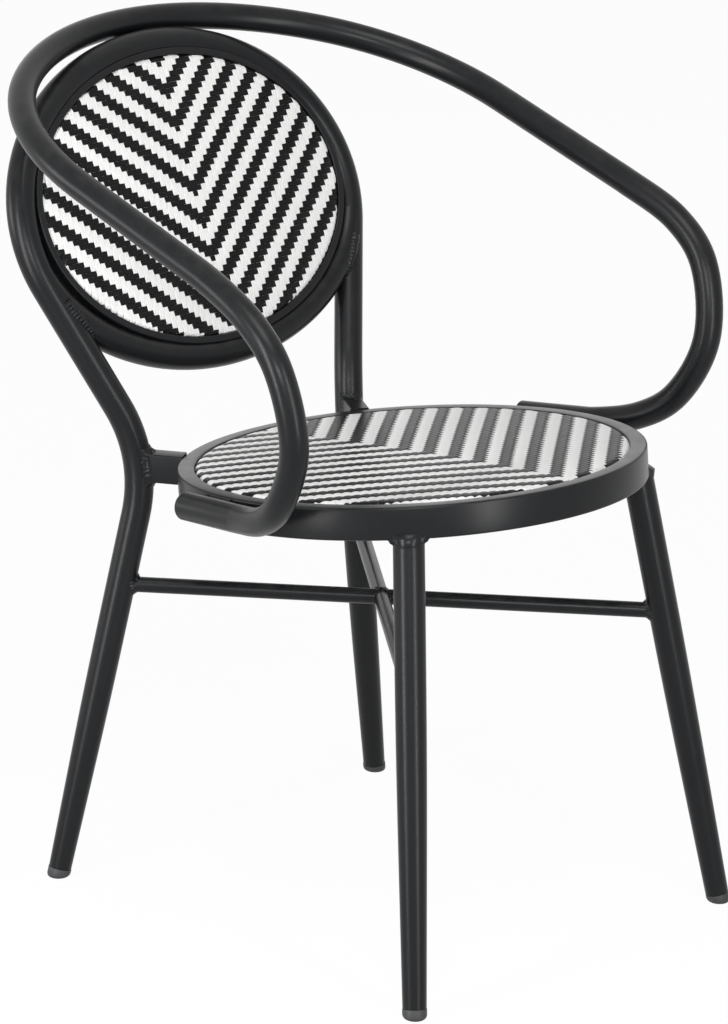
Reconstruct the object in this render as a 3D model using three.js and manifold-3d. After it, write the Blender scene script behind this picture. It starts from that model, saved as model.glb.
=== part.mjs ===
// A stacking bistro armchair: a welded tube frame with a round woven seat and an oval woven back.
// Lengths are millimetres, +Z is up and the sitter faces -Y, with the sitter's left at +X.
// The seat ring's centre lies on the Z axis while the chair is built, and the finished group is moved
// so that the origin is the point on the floor below the middle of its box.
import * as THREE from "three";
import { mergeVertices } from "three/addons/utils/BufferGeometryUtils.js";
import Module from "manifold-3d";

const { Vector3, Matrix4, Group, Mesh, BufferGeometry, BufferAttribute } = THREE;
const { sin, cos, tan, sqrt, hypot, ceil, PI } = Math;
const wasm = await Module();
wasm.setup();

// Facets: the sides of a tube, a bore and a weld, the steps round a ring, and the turn taken by one step.
const tubeSides = 14;
const boreSides = 7;
const rodSides = 10;
const beadSides = 5;
const beadSteps = 14;
const ringSteps = 52;
const panelSteps = 40;
const bendStep = degrees(11);
const footEdgeStep = degrees(22.5);
const weldSteps = 5;
// A faceted bore's flats lie this share of its radius from its middle.
const boreFlatShare = cos(PI / boreSides);

// Clearances: between welded or seated pieces, how far a cut runs past what it cuts, and the size of a
// block that cuts away everything on one side of a plane.
const clearance = 0.3;
const overrun = 40;
const cuttingBlock = 2000;

// Seat: the ring's top is seatHeight above the floor at its centre, and rises to the front.
const seatHeight = 440;
const seatTilt = degrees(6.7);
const seatRingRadius = 220.5;
const seatRingWidth = 16.3;
const seatRingHeight = 30.5;
const seatRingEdge = 1.8;

// Back: a plane through the point (0, backPlaneY, backPlaneZ), leaning backwards. The setback is how far
// that point lies behind the seat ring.
const backTilt = degrees(23.7);
const backPlaneSetback = 114.9;
const backPlaneY = seatRingRadius + backPlaneSetback;
const backPlaneZ = 684.5;
const hoopHalfWidth = 210.7;
const hoopHalfHeight = 163.3;
const hoopCentre = -73.3;
const frameTubeRadius = 13.95;
const frameTubeWall = 2;
const uprightFootHeight = -296;

// The lower arc closes the oval below the back.
const lowerArcHalfWidth = 212;
const lowerArcHalfHeight = 143;
const lowerArcStart = degrees(27);

// The back panel's flat rim.
const panelRimHalfWidth = 198;
const panelRimHalfHeight = 144.7;
const panelRimCentre = -62.9;
const panelRimWidth = 7.2;
const panelRimFront = 12.7;
const panelRimRear = -4;

// Woven panels: a skin that wraps round a hidden hoop, held by four tabs.
const weaveThickness = 2.2;
const weaveRimGap = 0.7;
const weaveSkirt = 13;
const weaveLip = 9.5;
const weaveEdgeRound = 1.6;
const crownShoulderShare = 0.55;
const crownShoulderHeightShare = 0.75;
const seatWeaveDrop = 2;
const seatWeaveCrown = 2.5;
const backWeaveDrop = 0.7;
const backWeaveCrown = 2.5;
const hoopBarWidth = 6.5;
const tabWidth = 18;
const tabThickness = 2.5;
const tabReach = 14;

// Rear legs: the setback is how far the feet stand behind the seat ring.
const rearFootX = 218.6;
const rearFootSetback = 25.2;
const rearFootRadius = 10.9;
const rearTaperTop = 185;
const rearBendRadius = 147;

// Front legs: the top is measured on the seat's tilted plane.
const frontFootX = 210.9;
const frontFootY = -224.7;
const frontTopX = 154.5;
const frontTopY = -142.8;
const frontTopRadius = 14.5;
const frontFootRadius = 11.1;
const frontTaperTop = 245;
const frontLegWall = 2;
const frontLegRoof = 5;

// Feet: a plug with a flat sole and a round edge.
const footRadius = 11.4;
const footEdgeRadius = 4;
const footHeight = 9.2;
const footPlugLength = 20;

// Arms: one tube that loops behind the back, runs forward and folds back beside the seat ring. The
// setback and the rise place its middle from the middle of the hoop's top.
const armRadius = 13.2;
const armWall = 2;
const armBackSetback = 25;
const armBackRise = 17.8;
const armSlope = degrees(17.16);
const armBackRadius = 300;
const armBackTurn = degrees(40);
const armSideRadius = 237;
const armRun = 170;
const armRunToe = degrees(0.7);
const armNoseReach = 116;
// The tail touches the seat ring a little behind its side: the lead and the reach are what runs ahead
// of that place and past it.
const armTailTurn = degrees(8);
const armTailDepth = 12.5;
const armTailLead = 42;
const armTailReach = 37;
const armCapThickness = 2;
const armCapSpigot = 8;
const armCapCrown = 1.2;
const armCapShoulderShare = 0.7;
const armCapShoulderDropShare = 0.25;
// The front bend from the run's end to the tail's start: places as shares of the way in towards the
// seat, of the reach forward and of the way down.
const armBendShares = [
  [-0.12, 0.57, 0.12],
  [-0.12, 0.87, 0.27],
  [0.06, 1, 0.58],
  [0.3, 0.76, 0.84],
  [0.6, 0.47, 0.945],
];
const armBendSteps = 3;

// Stretchers: one rod runs through, and two half rods meet it at the crossing.
const stretcherRadius = 7.5;
const stretcherHeight = 290;

// Brackets between the seat ring and the rear legs: level, and a little proud of the ring's top.
const bracketWidth = 19;
const bracketHeight = 28;
const bracketRise = 1.5;

// Weld beads.
const frontLegBead = 4.6;
const stretcherBead = 2.6;
const bracketBead = 3;
const seamBead = 3;
const seamStartShare = 0.3;
const seamEndShare = 0.97;
const seamClearShare = 1.1;
const seamLastTurn = degrees(54);
const seamStep = degrees(2);
const armWeldLength = 30;
const armWeldBead = 3.4;
const backWeldLength = 36;
const armWeldRiseShare = 1 / 3;
const seamTipShare = 0.6;

// Materials.
const powderCoat = standard(0x34363a, 0.42, 0.55);
const capPlastic = standard(0x2f3133, 0.5, 0);
const footPlastic = standard(0x55585c, 0.55, 0);
const wovenCane = standard(0xcfcfcb, 0.6, 0);
const hiddenMetal = standard(0x3a3c40, 0.5, 0.5);

function degrees(angle) {
  return (angle * PI) / 180;
}

function standard(color, roughness, metalness) {
  return new THREE.MeshStandardMaterial({ color, roughness, metalness });
}

// Places on the seat's plane: x, the way back along the plane, and the height above the ring's top.
function onSeat(x, y, z) {
  return new Vector3(
    x,
    y * cos(seatTilt) + z * sin(seatTilt),
    seatHeight - y * sin(seatTilt) + z * cos(seatTilt),
  );
}

// Places on the back's plane: x, the way up along the plane, and the distance out of it to the front.
function onBack(x, h, n) {
  return new Vector3(
    x,
    backPlaneY + h * sin(backTilt) - n * cos(backTilt),
    backPlaneZ + h * cos(backTilt) + n * sin(backTilt),
  );
}

function mirrored(point) {
  return new Vector3(-point.x, point.y, point.z);
}

function mixed(a, b, share) {
  return a.clone().lerp(b, share);
}

// A closed solid from a loft's rings, which all have the same number of points. A loft that isn't closed
// on itself gets a fan over each end.
function loft(rings, closed = false) {
  const sides = rings[0].length;
  const points = rings.flat();
  const faces = [];
  const last = closed ? rings.length : rings.length - 1;
  for (let i = 0; i < last; i++) {
    const next = (i + 1) % rings.length;
    for (let j = 0; j < sides; j++) {
      const k = (j + 1) % sides;
      faces.push(i * sides + j, i * sides + k, next * sides + k);
      faces.push(i * sides + j, next * sides + k, next * sides + j);
    }
  }
  if (!closed) {
    for (const [ring, start] of [[rings[0], 0], [rings.at(-1), (rings.length - 1) * sides]]) {
      const middle = points.length;
      points.push(ring.reduce((sum, p) => sum.add(p), new Vector3()).divideScalar(sides));
      for (let j = 0; j < sides; j++) {
        const pair = [start + j, start + ((j + 1) % sides)];
        if (start) faces.push(middle, pair[0], pair[1]);
        else faces.push(middle, pair[1], pair[0]);
      }
    }
  }
  return solidFrom(points.flatMap((p) => p.toArray()), faces);
}

function solidFrom(positions, faces) {
  const made = new wasm.Manifold(
    new wasm.Mesh({
      numProp: 3,
      vertProperties: new Float32Array(positions),
      triVerts: new Uint32Array(faces),
    }),
  );
  if (made.volume() > 0) return made;
  const turned = [];
  for (let i = 0; i < faces.length; i += 3) turned.push(faces[i], faces[i + 2], faces[i + 1]);
  return solidFrom(positions, turned);
}

// A closed solid from a three.js geometry, placed by a matrix.
function solidOf(geometry, matrix = new Matrix4()) {
  const bare = geometry.clone().applyMatrix4(matrix);
  bare.deleteAttribute("normal");
  bare.deleteAttribute("uv");
  const merged = mergeVertices(bare);
  const index = merged.index.array;
  const faces = [];
  for (let i = 0; i < index.length; i += 3) {
    const [a, b, c] = [index[i], index[i + 1], index[i + 2]];
    if (a !== b && b !== c && c !== a) faces.push(a, b, c);
  }
  return solidFrom(Array.from(merged.attributes.position.array), faces);
}

function without(solid, ...cutters) {
  return cutters.reduce((rest, cutter) => rest.subtract(cutter), solid);
}

function mirroredSolid(solid) {
  return solid.mirror([1, 0, 0]);
}

// The piece that is left of a cut bar, without the offcuts.
function largest(solid) {
  return solid.decompose().reduce((a, b) => (a.volume() > b.volume() ? a : b));
}

// A matrix that puts the origin at a point and turns Y along a direction.
function along(point, direction) {
  const turn = new THREE.Quaternion().setFromUnitVectors(new Vector3(0, 1, 0), direction.clone().normalize());
  return new Matrix4().compose(point, turn, new Vector3(1, 1, 1));
}

// A matrix with its own three directions at a point.
function placed(point, xAxis, yAxis, zAxis) {
  return new Matrix4().makeBasis(xAxis, yAxis, zAxis).setPosition(point);
}

// Everything above a plane, for cutting.
function above(point, up) {
  const block = new THREE.BoxGeometry(cuttingBlock, cuttingBlock, cuttingBlock);
  block.translate(0, cuttingBlock / 2, 0);
  return solidOf(block, along(point, up));
}

// The directions along a path, and the sideways directions that turn with it as little as they can.
function frames(path, firstSide, closed = false) {
  const count = path.length;
  let side = firstSide.clone();
  return path.map((point, i) => {
    const before = closed ? path[(i + count - 1) % count] : path[Math.max(i - 1, 0)];
    const after = closed ? path[(i + 1) % count] : path[Math.min(i + 1, count - 1)];
    const forward = after.clone().sub(before).normalize();
    side = side.clone().addScaledVector(forward, -side.dot(forward)).normalize();
    return { point, side, cross: forward.clone().cross(side) };
  });
}

function circle(frame, radius, sides) {
  const ring = [];
  for (let j = 0; j < sides; j++) {
    const turn = (2 * PI * j) / sides;
    ring.push(
      frame.point.clone()
        .addScaledVector(frame.side, radius * cos(turn))
        .addScaledVector(frame.cross, radius * sin(turn)),
    );
  }
  return ring;
}

// A round bar along a path. The radius is a length, or a function of the station's number.
function roundBar(path, radius, sides, firstSide = new Vector3(1, 0, 0)) {
  const size = typeof radius === "function" ? radius : () => radius;
  return loft(frames(path, firstSide).map((frame, i) => circle(frame, size(i), sides)));
}

// A path with both ends moved outwards.
function extended(path, length) {
  const first = path[0].clone().sub(path[1]).setLength(length).add(path[0]);
  const last = path.at(-1).clone().sub(path.at(-2)).setLength(length).add(path.at(-1));
  return [first, ...path.slice(1, -1), last];
}

// The arc that rounds a corner of a path.
function roundedCorner(before, corner, after, radius) {
  const toBefore = before.clone().sub(corner).normalize();
  const toAfter = after.clone().sub(corner).normalize();
  const turn = PI - toBefore.angleTo(toAfter);
  const centre = toBefore.clone().add(toAfter).setLength(radius / cos(turn / 2)).add(corner);
  const arm = corner.clone().addScaledVector(toBefore, radius * tan(turn / 2)).sub(centre);
  const axis = toBefore.clone().cross(arm).normalize();
  const steps = ceil(turn / bendStep);
  return Array.from({ length: steps + 1 }, (_, i) =>
    arm.clone().applyAxisAngle(axis, (turn * i) / steps).add(centre),
  );
}

// Values from one end to another in even steps no longer than a given one.
function stepped(from, to, step) {
  const count = ceil(Math.abs(to - from) / step);
  return Array.from({ length: count + 1 }, (_, i) => from + ((to - from) * i) / count);
}

// A bar whose middle line is an oval on a plane. The section's points are [outset, height] pairs.
function ovalBar(place, oval, section, steps) {
  const rings = [];
  for (let i = 0; i < steps; i++) {
    const turn = (2 * PI * i) / steps;
    rings.push(section.map(([outset, height]) => ovalPoint(place, oval, turn, 1, outset, height)));
  }
  return loft(rings, true);
}

// A point beside an oval: a share of the way out from its middle, then an outset square to its edge.
function ovalPoint(place, oval, turn, share, outset, height) {
  const nx = cos(turn) * oval.halfHeight;
  const nh = sin(turn) * oval.halfWidth;
  const length = hypot(nx, nh);
  return place(
    share * oval.halfWidth * cos(turn) + (outset * nx) / length,
    oval.centre + share * oval.halfHeight * sin(turn) + (outset * nh) / length,
    height,
  );
}

// A panel like a shallow dish turned over. Its profile runs from the top's middle round the rim to the
// underside's middle, as [share, outset, height], and its first and last points are the middles.
function dish(place, oval, profile, steps) {
  const rings = profile.slice(1, -1);
  const points = rings.flatMap(([share, outset, height]) =>
    Array.from({ length: steps }, (_, i) => {
      const turn = (2 * PI * i) / steps;
      return ovalPoint(place, oval, turn, share, outset, height);
    }),
  );
  const faces = [];
  for (let i = 0; i < rings.length - 1; i++) {
    for (let j = 0; j < steps; j++) {
      const k = (j + 1) % steps;
      faces.push(i * steps + j, i * steps + k, (i + 1) * steps + k);
      faces.push(i * steps + j, (i + 1) * steps + k, (i + 1) * steps + j);
    }
  }
  const last = (rings.length - 1) * steps;
  points.push(place(0, oval.centre, profile[0][2]), place(0, oval.centre, profile.at(-1)[2]));
  for (let j = 0; j < steps; j++) {
    const k = (j + 1) % steps;
    faces.push(points.length - 2, k, j);
    faces.push(points.length - 1, last + j, last + k);
  }
  return solidFrom(points.flatMap((p) => p.toArray()), faces);
}

// A loop of weld along a closed list of points, with the direction away from the joint at each.
function weldLoop(points, outwards, radius) {
  const count = points.length;
  const rings = points.map((point, i) => {
    const forward = points[(i + 1) % count].clone().sub(points[(i + count - 1) % count]).normalize();
    const side = outwards[i].clone();
    side.addScaledVector(forward, -side.dot(forward)).normalize();
    return circle({ point, side, cross: forward.clone().cross(side) }, radius, beadSides);
  });
  return loft(rings, true);
}

// Where a line meets a round bar: the distance along the line to the bar's surface on the near side.
function distanceToBar(from, direction, bar) {
  const axis = bar.to.clone().sub(bar.from).normalize();
  const offset = from.clone().sub(bar.from);
  const a = direction.clone().addScaledVector(axis, -direction.dot(axis));
  const b = offset.clone().addScaledVector(axis, -offset.dot(axis));
  const half = a.dot(b) / a.dot(a);
  const inside = half * half - (b.dot(b) - bar.radius * bar.radius) / a.dot(a);
  return -half - sqrt(Math.max(inside, 0));
}

// The weld where a round rod from a point runs into a round bar.
function rodWeld(from, towards, rodRadius, bar, radius) {
  const direction = towards.clone().sub(from).normalize();
  const side = new Vector3(0, 0, 1).cross(direction).normalize();
  const up = direction.clone().cross(side);
  const points = [];
  const outwards = [];
  for (let i = 0; i < beadSteps; i++) {
    const turn = (2 * PI * i) / beadSteps;
    const out = side.clone().multiplyScalar(cos(turn)).addScaledVector(up, sin(turn));
    const start = from.clone().addScaledVector(out, rodRadius);
    points.push(start.addScaledVector(direction, distanceToBar(start, direction, bar)));
    outwards.push(out);
  }
  return weldLoop(points, outwards, radius);
}

// A weld along a seam, thin at its ends.
function seamWeld(points, radius) {
  const last = points.length - 1;
  const swell = 1 - seamTipShare;
  const size = (i) => radius * (seamTipShare + swell * sin((PI * i) / last));
  return roundBar(points, size, beadSides + 1, new Vector3(0, 0, 1));
}

// The back frame: the hoop's upper half, its leaning uprights and the rear legs, on the +X side.
function hoopPoint(turn) {
  return onBack(hoopHalfWidth * cos(turn), hoopCentre + hoopHalfHeight * sin(turn), 0);
}

const uprightTurn = degrees(16.4);
const uprightTop = hoopPoint(-uprightTurn);
const uprightLean = (hoopHalfWidth * tan(uprightTurn)) / hoopHalfHeight;
const uprightTopHeight = hoopCentre - hoopHalfHeight * sin(uprightTurn);
const uprightFoot = onBack(
  hoopHalfWidth * cos(uprightTurn) - uprightLean * (uprightTopHeight - uprightFootHeight),
  uprightFootHeight,
  0,
);
const rearFoot = new Vector3(rearFootX, seatRingRadius + rearFootSetback, 0);
const rearUp = uprightFoot.clone().sub(rearFoot).normalize();

// A place on a leg's axis, and the radius there of a leg that is tapered towards its foot.
function atHeight(foot, up, height) {
  return foot.clone().addScaledVector(up, (height - foot.z) / up.z);
}

function taperedRadius(height, footEnd, full, taperTop) {
  return footEnd + (full - footEnd) * Math.min((height - footHeight) / (taperTop - footHeight), 1);
}

// The path from the rear foot to the top of the hoop, and the tube's radius along it.
const rearEnd = atHeight(rearFoot, rearUp, footHeight);
const rearTaperEnd = atHeight(rearFoot, rearUp, rearTaperTop);
const rearBend = roundedCorner(rearEnd, uprightFoot, uprightTop, rearBendRadius);
const hoopHalf = stepped(-uprightTurn, PI / 2, bendStep).map(hoopPoint);
const backHalf = [rearEnd, rearTaperEnd, ...rearBend, ...hoopHalf];
const backPath = [...backHalf, ...backHalf.slice(0, -1).reverse().map(mirrored)];

function backFrameRadius(point) {
  return taperedRadius(point.z, rearFootRadius, frameTubeRadius, rearTaperTop);
}

function backFrameBar(path, grow) {
  return roundBar(path, (i) => backFrameRadius(path[i]) + grow, tubeSides);
}

const backFrameOutside = backFrameBar(backPath, 0);
const backFrameGrown = backFrameBar(extended(backPath, overrun), clearance);
const backFrameBore = roundBar(
  extended(backPath, overrun),
  (i) => backFrameRadius(backPath[i]) - frameTubeWall,
  boreSides,
);
const backFrame = backFrameOutside.subtract(backFrameBore);

// The oval's lower arc, cut to fit the uprights.
function lowerArcPoint(turn) {
  return onBack(lowerArcHalfWidth * cos(turn), hoopCentre - lowerArcHalfHeight * sin(turn), 0);
}

const lowerArcPath = stepped(lowerArcStart, PI - lowerArcStart, bendStep).map(lowerArcPoint);
const lowerArcGrown = roundBar(lowerArcPath, frameTubeRadius + clearance, tubeSides);

function lowerArc() {
  const outside = roundBar(lowerArcPath, frameTubeRadius, tubeSides);
  const bore = roundBar(extended(lowerArcPath, overrun), frameTubeRadius - frameTubeWall, boreSides);
  return largest(without(outside, bore, backFrameGrown));
}

// The panel's flat rim, nested between the hoop and the lower arc.
const panelRimOval = { halfWidth: panelRimHalfWidth, halfHeight: panelRimHalfHeight, centre: panelRimCentre };

function panelRim() {
  const section = [
    [0, panelRimRear],
    [0, panelRimFront],
    [-panelRimWidth, panelRimFront],
    [-panelRimWidth, panelRimRear],
  ];
  const bar = ovalBar(onBack, panelRimOval, section, ringSteps);
  return without(bar, backFrameGrown, lowerArcGrown);
}

// The seat ring: a solid bar rolled round, with softened edges.
const seatRingInner = seatRingRadius - seatRingWidth;
const seatOval = { halfWidth: seatRingRadius, halfHeight: seatRingRadius, centre: 0 };

function seatRing(grow = 0) {
  const outer = grow;
  const inner = -seatRingWidth - grow;
  const top = grow;
  const bottom = -seatRingHeight - grow;
  const edge = seatRingEdge;
  const section = [
    [outer, bottom + edge],
    [outer, top - edge],
    [outer - edge, top],
    [inner + edge, top],
    [inner, top - edge],
    [inner, bottom + edge],
    [inner + edge, bottom],
    [outer - edge, bottom],
  ];
  return ovalBar(onSeat, seatOval, section, ringSteps);
}

const seatRingGrown = seatRing(clearance);

// A woven panel's skin, with its skirt and lip wrapped round the hoop.
function weave(place, oval, top, crown) {
  const under = top - weaveThickness;
  const foot = top - weaveSkirt;
  const profile = [
    [0, 0, top + crown],
    [crownShoulderShare, 0, top + crown * crownShoulderHeightShare],
    [1, -weaveEdgeRound, top],
    [1, 0, top - weaveEdgeRound],
    [1, 0, foot],
    [1, -weaveLip, foot],
    [1, -weaveLip, foot + weaveThickness],
    [1, -weaveThickness, foot + weaveThickness],
    [1, -weaveThickness, under],
    [crownShoulderShare, 0, under + crown * crownShoulderHeightShare],
    [0, 0, under + crown],
  ];
  return dish(place, oval, profile, panelSteps);
}

// The hoop inside a woven panel's rim.
function weaveHoop(place, oval, top) {
  const outer = -weaveThickness - clearance;
  const inner = outer - hoopBarWidth;
  const high = top - weaveThickness - clearance;
  const low = top - weaveSkirt + weaveThickness + clearance;
  const section = [[outer, low], [outer, high], [inner, high], [inner, low]];
  return ovalBar(place, oval, section, panelSteps);
}

// A tab that carries a woven panel's lip from its ring.
function tab(place, ringInner, turn, top) {
  const middle = (height) => ovalPoint(place, ringInner, turn, 1, -2 * clearance - tabReach / 2, height);
  const up = middle(tabThickness).sub(middle(0)).normalize();
  const edge = ovalPoint(place, ringInner, turn, 1, 0, 0);
  const out = edge.sub(ovalPoint(place, ringInner, turn, 1, -tabReach, 0)).normalize();
  const box = new THREE.BoxGeometry(tabReach, tabWidth, tabThickness);
  return solidOf(box, placed(middle(top - tabThickness / 2), out, up.clone().cross(out), up));
}

const seatRingInside = { halfWidth: seatRingInner, halfHeight: seatRingInner, centre: 0 };
const seatWeaveOval = {
  halfWidth: seatRingInner - weaveRimGap,
  halfHeight: seatRingInner - weaveRimGap,
  centre: 0,
};
const panelRimInside = {
  halfWidth: panelRimHalfWidth - panelRimWidth,
  halfHeight: panelRimHalfHeight - panelRimWidth,
  centre: panelRimCentre,
};
const backWeaveOval = {
  halfWidth: panelRimInside.halfWidth - weaveRimGap,
  halfHeight: panelRimInside.halfHeight - weaveRimGap,
  centre: panelRimCentre,
};
const seatWeaveTop = -seatWeaveDrop;
const backWeaveTop = panelRimFront - backWeaveDrop;

// The front legs, on the +X side.
const frontFoot = new Vector3(frontFootX, frontFootY, 0);
const frontTop = onSeat(frontTopX, frontTopY, -seatRingHeight);
const frontUp = frontTop.clone().sub(frontFoot).normalize();
const frontEnd = atHeight(frontFoot, frontUp, footHeight);
const frontTaperEnd = atHeight(frontFoot, frontUp, frontTaperTop);
const underSeatRing = onSeat(0, 0, -seatRingHeight - clearance);
const seatUp = onSeat(0, 0, 1).sub(onSeat(0, 0, 0));

function frontLegRadius(height) {
  return taperedRadius(height, frontFootRadius, frontTopRadius, frontTaperTop);
}

function frontLegPath(further) {
  return [frontEnd, frontTaperEnd, frontTop.clone().addScaledVector(frontUp, further)];
}

function frontLegOutside(grow = 0) {
  const path = frontLegPath(overrun);
  return roundBar(path, (i) => frontLegRadius(path[i].z) + grow, tubeSides);
}

function frontLeg() {
  const path = frontLegPath(-frontLegRoof);
  const below = frontEnd.clone().addScaledVector(frontUp, -overrun);
  const size = (i) => frontLegRadius(path[i].z) - frontLegWall;
  const bore = roundBar([below, ...path.slice(1)], size, boreSides);
  return without(frontLegOutside(), bore, above(underSeatRing, seatUp));
}

// The weld round a front leg's top, which climbs a little up the ring's outer face.
function frontLegWeld() {
  const side = new Vector3(0, 0, 1).cross(frontUp).normalize();
  const across = frontUp.clone().cross(side);
  const points = [];
  const outwards = [];
  for (let i = 0; i < beadSteps; i++) {
    const turn = (2 * PI * i) / beadSteps;
    const out = side.clone().multiplyScalar(cos(turn)).addScaledVector(across, sin(turn));
    const start = frontTop.clone().addScaledVector(out, frontTopRadius);
    const lift = underSeatRing.clone().sub(start).dot(seatUp) / frontUp.dot(seatUp);
    points.push(start.addScaledVector(frontUp, lift));
    outwards.push(out);
  }
  return without(weldLoop(points, outwards, frontLegBead), seatRingGrown, frontLegOutside(clearance));
}

// A foot plug: level circles up its leg's axis, cut square below the tube's end, and a spigot inside the
// bore.
function foot(onFloor, up, legRadius, wall) {
  const levels = stepped(0, PI / 2, footEdgeStep).map((turn) => [
    footEdgeRadius * (1 - cos(turn)),
    footRadius - footEdgeRadius * (1 - sin(turn)),
  ]);
  levels.push([footHeight + footRadius, footRadius]);
  const rings = levels.map(([height, radius]) => {
    const point = atHeight(onFloor, up, height);
    return circle({ point, side: new Vector3(1, 0, 0), cross: new Vector3(0, 1, 0) }, radius, tubeSides);
  });
  const top = atHeight(onFloor, up, footHeight).addScaledVector(up, -clearance);
  const root = top.clone().addScaledVector(up, -footHeight / 2);
  const tip = top.clone().addScaledVector(up, footPlugLength);
  const spigot = roundBar([root, tip], (legRadius - wall) * boreFlatShare - clearance, tubeSides);
  return loft(rings).subtract(above(top, up)).add(spigot);
}

// The arm tube's path, on the +X side.
const hoopTop = hoopPoint(PI / 2);

function onArmPlane(x, v) {
  const y = hoopTop.y + armBackSetback - v * cos(armSlope);
  const z = hoopTop.z + armBackRise - v * sin(armSlope);
  return new Vector3(x, y, z);
}

function armUpperPath() {
  const back = stepped(0, armBackTurn, bendStep).map((turn) =>
    onArmPlane(armBackRadius * sin(turn), armBackRadius * (1 - cos(turn))),
  );
  const side = stepped(armBackTurn, PI / 2 - armRunToe, bendStep).slice(1).map((turn) =>
    onArmPlane(
      (armBackRadius - armSideRadius) * sin(armBackTurn) + armSideRadius * sin(turn),
      armBackRadius - (armBackRadius - armSideRadius) * cos(armBackTurn) - armSideRadius * cos(turn),
    ),
  );
  return [...back, ...side];
}

const armUpper = armUpperPath();
const armRunDirection = new Vector3(
  sin(armRunToe),
  -cos(armRunToe) * cos(armSlope),
  -cos(armRunToe) * sin(armSlope),
);
const armRunEnd = armUpper.at(-1).clone().addScaledVector(armRunDirection, armRun);

// Places beside the seat ring, where the arm's tail touches it: how far out of the ring's axis, how far
// back along the tail, and the height above the ring's top.
function besideRing(out, further, height) {
  return onSeat(
    out * cos(armTailTurn) - further * sin(armTailTurn),
    out * sin(armTailTurn) + further * cos(armTailTurn),
    height,
  );
}

const armTailOut = seatRingRadius + armRadius + 2 * clearance;
const armTailFirst = besideRing(armTailOut, -armTailLead, -armTailDepth);
const armTailLast = besideRing(armTailOut, armTailReach, -armTailDepth);

function armBendPath() {
  const inwards = armTailFirst.x - armRunEnd.x;
  const down = armTailFirst.z - armRunEnd.z;
  const places = armBendShares.map(([inShare, outShare, downShare]) =>
    new Vector3(
      armRunEnd.x + inShare * inwards,
      armRunEnd.y - outShare * armNoseReach,
      armRunEnd.z + downShare * down,
    ),
  );
  const through = [
    mixed(armUpper.at(-1), armRunEnd, 0.5),
    armRunEnd,
    ...places,
    armTailFirst,
    mixed(armTailFirst, armTailLast, 0.5),
  ];
  const curve = new THREE.CatmullRomCurve3(through, false, "centripetal");
  const spans = through.length - 1;
  return stepped(1 / spans, 1 - 1 / spans, 1 / (spans * armBendSteps)).map((t) => curve.getPoint(t));
}

const armBend = armBendPath();
const armHalf = [...armUpper, ...armBend, armTailLast];
const armPath = [...armHalf.slice(1).reverse().map(mirrored), ...armHalf];
const armGrown = roundBar(armPath, armRadius + clearance, tubeSides);

function armTube() {
  const bore = roundBar(extended(armPath, overrun), armRadius - armWall, boreSides);
  return roundBar(armPath, armRadius, tubeSides).subtract(bore);
}

// A cap that closes the arm tube's end, with a spigot inside the bore.
function armCap() {
  const spigot = (armRadius - armWall) * boreFlatShare - clearance;
  const shoulderDrop = armCapCrown * armCapShoulderDropShare;
  const profile = [
    new THREE.Vector2(0, armCapThickness),
    new THREE.Vector2(armRadius * armCapShoulderShare, armCapThickness - shoulderDrop),
    new THREE.Vector2(armRadius, armCapThickness - armCapCrown),
    new THREE.Vector2(armRadius, clearance),
    new THREE.Vector2(spigot, clearance),
    new THREE.Vector2(spigot, -armCapSpigot),
    new THREE.Vector2(0, -armCapSpigot),
  ];
  const outwards = armTailLast.clone().sub(armTailFirst);
  return solidOf(new THREE.LatheGeometry(profile, tubeSides), along(armTailLast, outwards));
}

// The weld between the arm tube and the seat ring, above the line where they touch.
function armRingWeld() {
  const height = -armTailDepth + armWeldBead + armRadius * armWeldRiseShare;
  const points = stepped(-armWeldLength / 2, armWeldLength / 2, armWeldLength / weldSteps).map((further) =>
    besideRing(seatRingRadius + clearance, further, height),
  );
  return without(seamWeld(points, armWeldBead), armGrown, seatRingGrown);
}

// The weld between the arm tube's middle and the hoop's top.
function armHoopWeld() {
  const armTop = onArmPlane(0, 0);
  const between = mixed(hoopTop, armTop, 0.5);
  const across = armTop.clone().sub(hoopTop).normalize();
  const down = new Vector3(1, 0, 0).cross(across);
  const middle = between.clone().addScaledVector(down, -armRadius * armWeldRiseShare - armWeldBead);
  const points = stepped(-backWeldLength / 2, backWeldLength / 2, backWeldLength / weldSteps).map((x) =>
    middle.clone().add(new Vector3(x, 0, 0)),
  );
  return without(seamWeld(points, armWeldBead), armGrown, backFrameGrown);
}

// The stretchers: places on the legs' axes at the stretchers' height.
const frontJoint = atHeight(frontFoot, frontUp, stretcherHeight);
const rearJoint = atHeight(rearFoot, rearUp, stretcherHeight);
const frontBar = { from: frontFoot, to: frontTop, radius: frontLegRadius(stretcherHeight) };
const rearBar = { from: rearFoot, to: uprightFoot, radius: backFrameRadius(rearJoint) };

function mirroredBar(bar) {
  return { from: mirrored(bar.from), to: mirrored(bar.to), radius: bar.radius };
}

const longFrom = mirrored(frontJoint);
const longTo = rearJoint;
const crossing = mixed(longFrom, longTo, frontJoint.x / (frontJoint.x + rearJoint.x));
const longBar = { from: longFrom, to: longTo, radius: stretcherRadius };
const frontLegGrown = frontLegOutside(clearance);
const frontLegGrownMirror = mirroredSolid(frontLegGrown);

function longStretcher() {
  const bar = roundBar([longFrom, longTo], stretcherRadius, rodSides, new Vector3(0, 0, 1));
  return largest(without(bar, frontLegGrownMirror, backFrameGrown));
}

function halfStretcher(joint) {
  const bar = roundBar([joint, crossing], stretcherRadius, rodSides, new Vector3(0, 0, 1));
  return largest(without(bar, frontLegGrown, backFrameGrown, stretcherGrown(longFrom, longTo)));
}

function stretcherGrown(from, to) {
  return roundBar([from, to], stretcherRadius + clearance, rodSides, new Vector3(0, 0, 1));
}

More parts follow.
